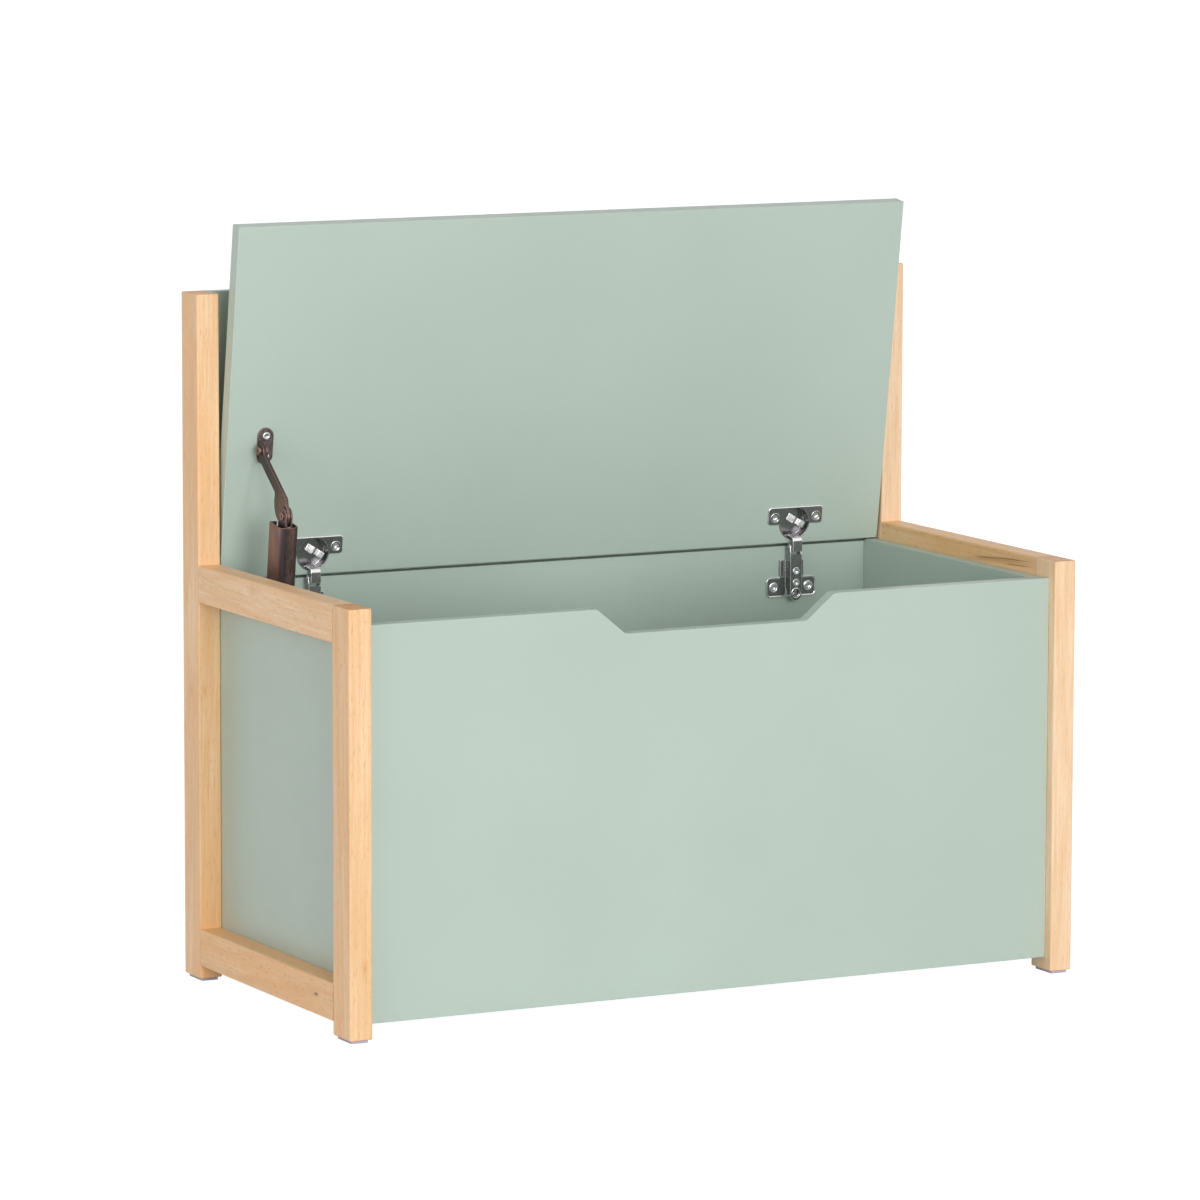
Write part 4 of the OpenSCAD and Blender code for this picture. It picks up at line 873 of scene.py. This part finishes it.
class BENCH_OT_lid_stay(bpy.types.Operator):
    """Finish the lid stay"""
    bl_idname = "bench.lid_stay"
    bl_label = "Lid Stay"

    def execute(self, context):
        edge = context.scene.bench_sizes.steel_edge
        colours = context.scene.bench_finishes
        zinc = bright_finish("stay_zinc", colours.zinc, ZINC_SHADE, 0.18, 0.32)
        worn = bright_finish("worn_copper", colours.copper, COPPER_SHADE, 0.25, 0.4)
        # The tube's corner gives its left face painted light and its front painted shade
        tube = bronze_finish("bronze_tube", UPRIGHT, 40, 0.35, srgb(112, 88, 82), corner=TUBE_LEFT)
        arm = bronze_finish("bronze_arm", ARM_LEAN, 16, 0.08, srgb(54, 58, 62), rings_at=STAY_ELBOW)
        plate = bronze_finish("bronze_plate", UPRIGHT, 6, 0.08, srgb(112, 104, 110))
        for node, material in (("stay_tube", tube), ("stay_arm", arm), ("stay_yoke", plate),
                               ("stay_side_bracket", plate), ("stay_lid_bracket", plate)):
            form = joined_points if node == "stay_arm" else None
            dressed(node, node + "_bronzed", material, edge, 3, worn, form)
        for node in RIVETS:
            dressed(node, node + "_turned", worn, RIVET_EDGE)
        wound_spring(zinc)
        for node in ("stay_plunger", "stay_spring_seat"):
            repaint(node, zinc)
        crossed_screws("stay_lid_screws", "stay_lid_screws_crossed", zinc,
                       LID_OUTWARD, LID_SCREW_DOME, LID_SCREW_WIDER)
        crossed_screws("stay_side_screws", "stay_side_screws_crossed", zinc,
                       Vector((1, 0, 0)))
        return {"FINISHED"}


# Stage

AMBIENT = 0.43
FLOOR_GLOW = 0.95
FLOOR_HALF = 20
LAMP_TARGET = Vector((0, 0, 0.35))

# Place, size and power of each lamp
LAMPS = {
    "key": ((-1.0, -8.6, 1.5), 4.4, 490),
    "side": ((-3.4, -1.0, 1.2), 2.2, 22),
}


def area_lamp(name, at, size, power):
    """A square soft light that faces the bench."""
    data = bpy.data.lights.new(name, "AREA")
    data.energy = power
    data.size = size
    lamp = bpy.data.objects.new(name, data)
    bpy.context.scene.collection.objects.link(lamp)
    lamp.location = at
    lamp.rotation_euler = (LAMP_TARGET - Vector(at)).to_track_quat("-Z", "Y").to_euler()


def emptied_tree(owner):
    """The emptied node tree of a world or material, and the outputs of a light path in it."""
    owner.use_nodes = True
    owner.node_tree.nodes.clear()
    tree = Nodes(owner.node_tree)
    return tree, tree.add("ShaderNodeLightPath", {}).outputs


def white_world():
    """Even grey daylight that the camera and the metal see as plain white."""
    world = bpy.data.worlds.new("studio")
    bpy.context.scene.world = world
    tree, path = emptied_tree(world)
    seen = tree.math("MAXIMUM", path["Is Camera Ray"], path["Is Glossy Ray"])
    clear = tree.math("MAXIMUM", seen, path["Is Transmission Ray"])
    ambient = tree.add("ShaderNodeBackground", {"Color": WHITE, "Strength": AMBIENT})
    white = tree.add("ShaderNodeBackground", {"Color": WHITE, "Strength": 1.0})
    mix = tree.add("ShaderNodeMixShader", {0: clear, 1: ambient.outputs[0], 2: white.outputs[0]})
    tree.add("ShaderNodeOutputWorld", {"Surface": mix.outputs[0]})


def floor_finish():
    """A white studio floor that still takes a soft shadow."""
    material = bpy.data.materials.new("studio_floor")
    tree, path = emptied_tree(material)
    seen = tree.math("MAXIMUM", path["Is Camera Ray"], path["Is Glossy Ray"])
    matt = tree.add("ShaderNodeBsdfDiffuse", {"Color": (0.8, 0.8, 0.8, 1)})
    soft = tree.add("ShaderNodeBsdfDiffuse", {"Color": (0.3, 0.3, 0.3, 1)})
    glow = tree.add("ShaderNodeEmission", {"Strength": FLOOR_GLOW})
    both = tree.add("ShaderNodeAddShader", {0: soft.outputs[0], 1: glow.outputs[0]})
    mix = tree.add("ShaderNodeMixShader", {0: seen, 1: matt.outputs[0], 2: both.outputs[0]})
    tree.add("ShaderNodeOutputMaterial", {"Surface": mix.outputs[0]})
    return material


def fitted_camera():
    """The camera that was fitted to the bench's straight edges."""
    camera = bpy.data.objects.new("camera", bpy.data.cameras.new("camera"))
    camera.data.sensor_width = CAMERA_SENSOR
    camera.data.lens = CAMERA_LENS
    flat = math.cos(CAMERA_PITCH)
    forward = Vector((math.sin(CAMERA_YAW) * flat, math.cos(CAMERA_YAW) * flat,
                      -math.sin(CAMERA_PITCH)))
    level = Vector((math.cos(CAMERA_YAW), -math.sin(CAMERA_YAW), 0))
    up = level.cross(forward)
    right = math.cos(CAMERA_ROLL) * level + math.sin(CAMERA_ROLL) * up
    above = math.cos(CAMERA_ROLL) * up - math.sin(CAMERA_ROLL) * level
    turn = Matrix((right, above, -forward)).transposed().to_4x4()
    camera.matrix_world = Matrix.Translation(CAMERA_AT) @ turn
    return camera


class BENCH_OT_stage(bpy.types.Operator):
    """Set up the floor, lights and camera"""
    bl_idname = "bench.stage"
    bl_label = "Stage"

    def execute(self, context):
        scene = context.scene
        scene.view_settings.view_transform = "Standard"
        bm = bmesh.new()
        bmesh.ops.create_grid(bm, x_segments=1, y_segments=1, size=FLOOR_HALF)
        mesh = bpy.data.meshes.new("studio_floor")
        bm.to_mesh(mesh)
        bm.free()
        mesh.materials.append(floor_finish())
        floor = bpy.data.objects.new("studio_floor", mesh)
        scene.collection.objects.link(floor)
        white_world()
        for name, lamp in LAMPS.items():
            area_lamp(name, *lamp)
        camera = fitted_camera()
        scene.collection.objects.link(camera)
        scene.camera = camera
        return {"FINISHED"}


class BENCH_PT_panel(bpy.types.Panel):
    """Sizes, colours and steps of the bench"""
    bl_label = "Toy Box Bench"
    bl_idname = "BENCH_PT_panel"
    bl_space_type = "VIEW_3D"
    bl_region_type = "UI"
    bl_category = "Bench"

    def draw(self, context):
        for group in (context.scene.bench_sizes, context.scene.bench_finishes):
            for name in group.__annotations__:
                self.layout.prop(group, name)
        for step in STEPS:
            self.layout.operator("bench." + step)


STEPS = ("timber_frame", "painted_boards", "cup_hinges", "lid_stay", "stage")
CLASSES = (BenchFinishes, BenchSizes, BENCH_OT_timber_frame, BENCH_OT_painted_boards,
           BENCH_OT_cup_hinges, BENCH_OT_lid_stay, BENCH_OT_stage, BENCH_PT_panel)


def register():
    for cls in CLASSES:
        bpy.utils.register_class(cls)
    bpy.types.Scene.bench_finishes = PointerProperty(type=BenchFinishes)
    bpy.types.Scene.bench_sizes = PointerProperty(type=BenchSizes)


def unregister():
    del bpy.types.Scene.bench_sizes
    del bpy.types.Scene.bench_finishes
    for cls in reversed(CLASSES):
        bpy.utils.unregister_class(cls)


def main():
    register()
    for step in STEPS:
        getattr(bpy.ops.bench, step)()


if __name__ == "__main__":
    main()
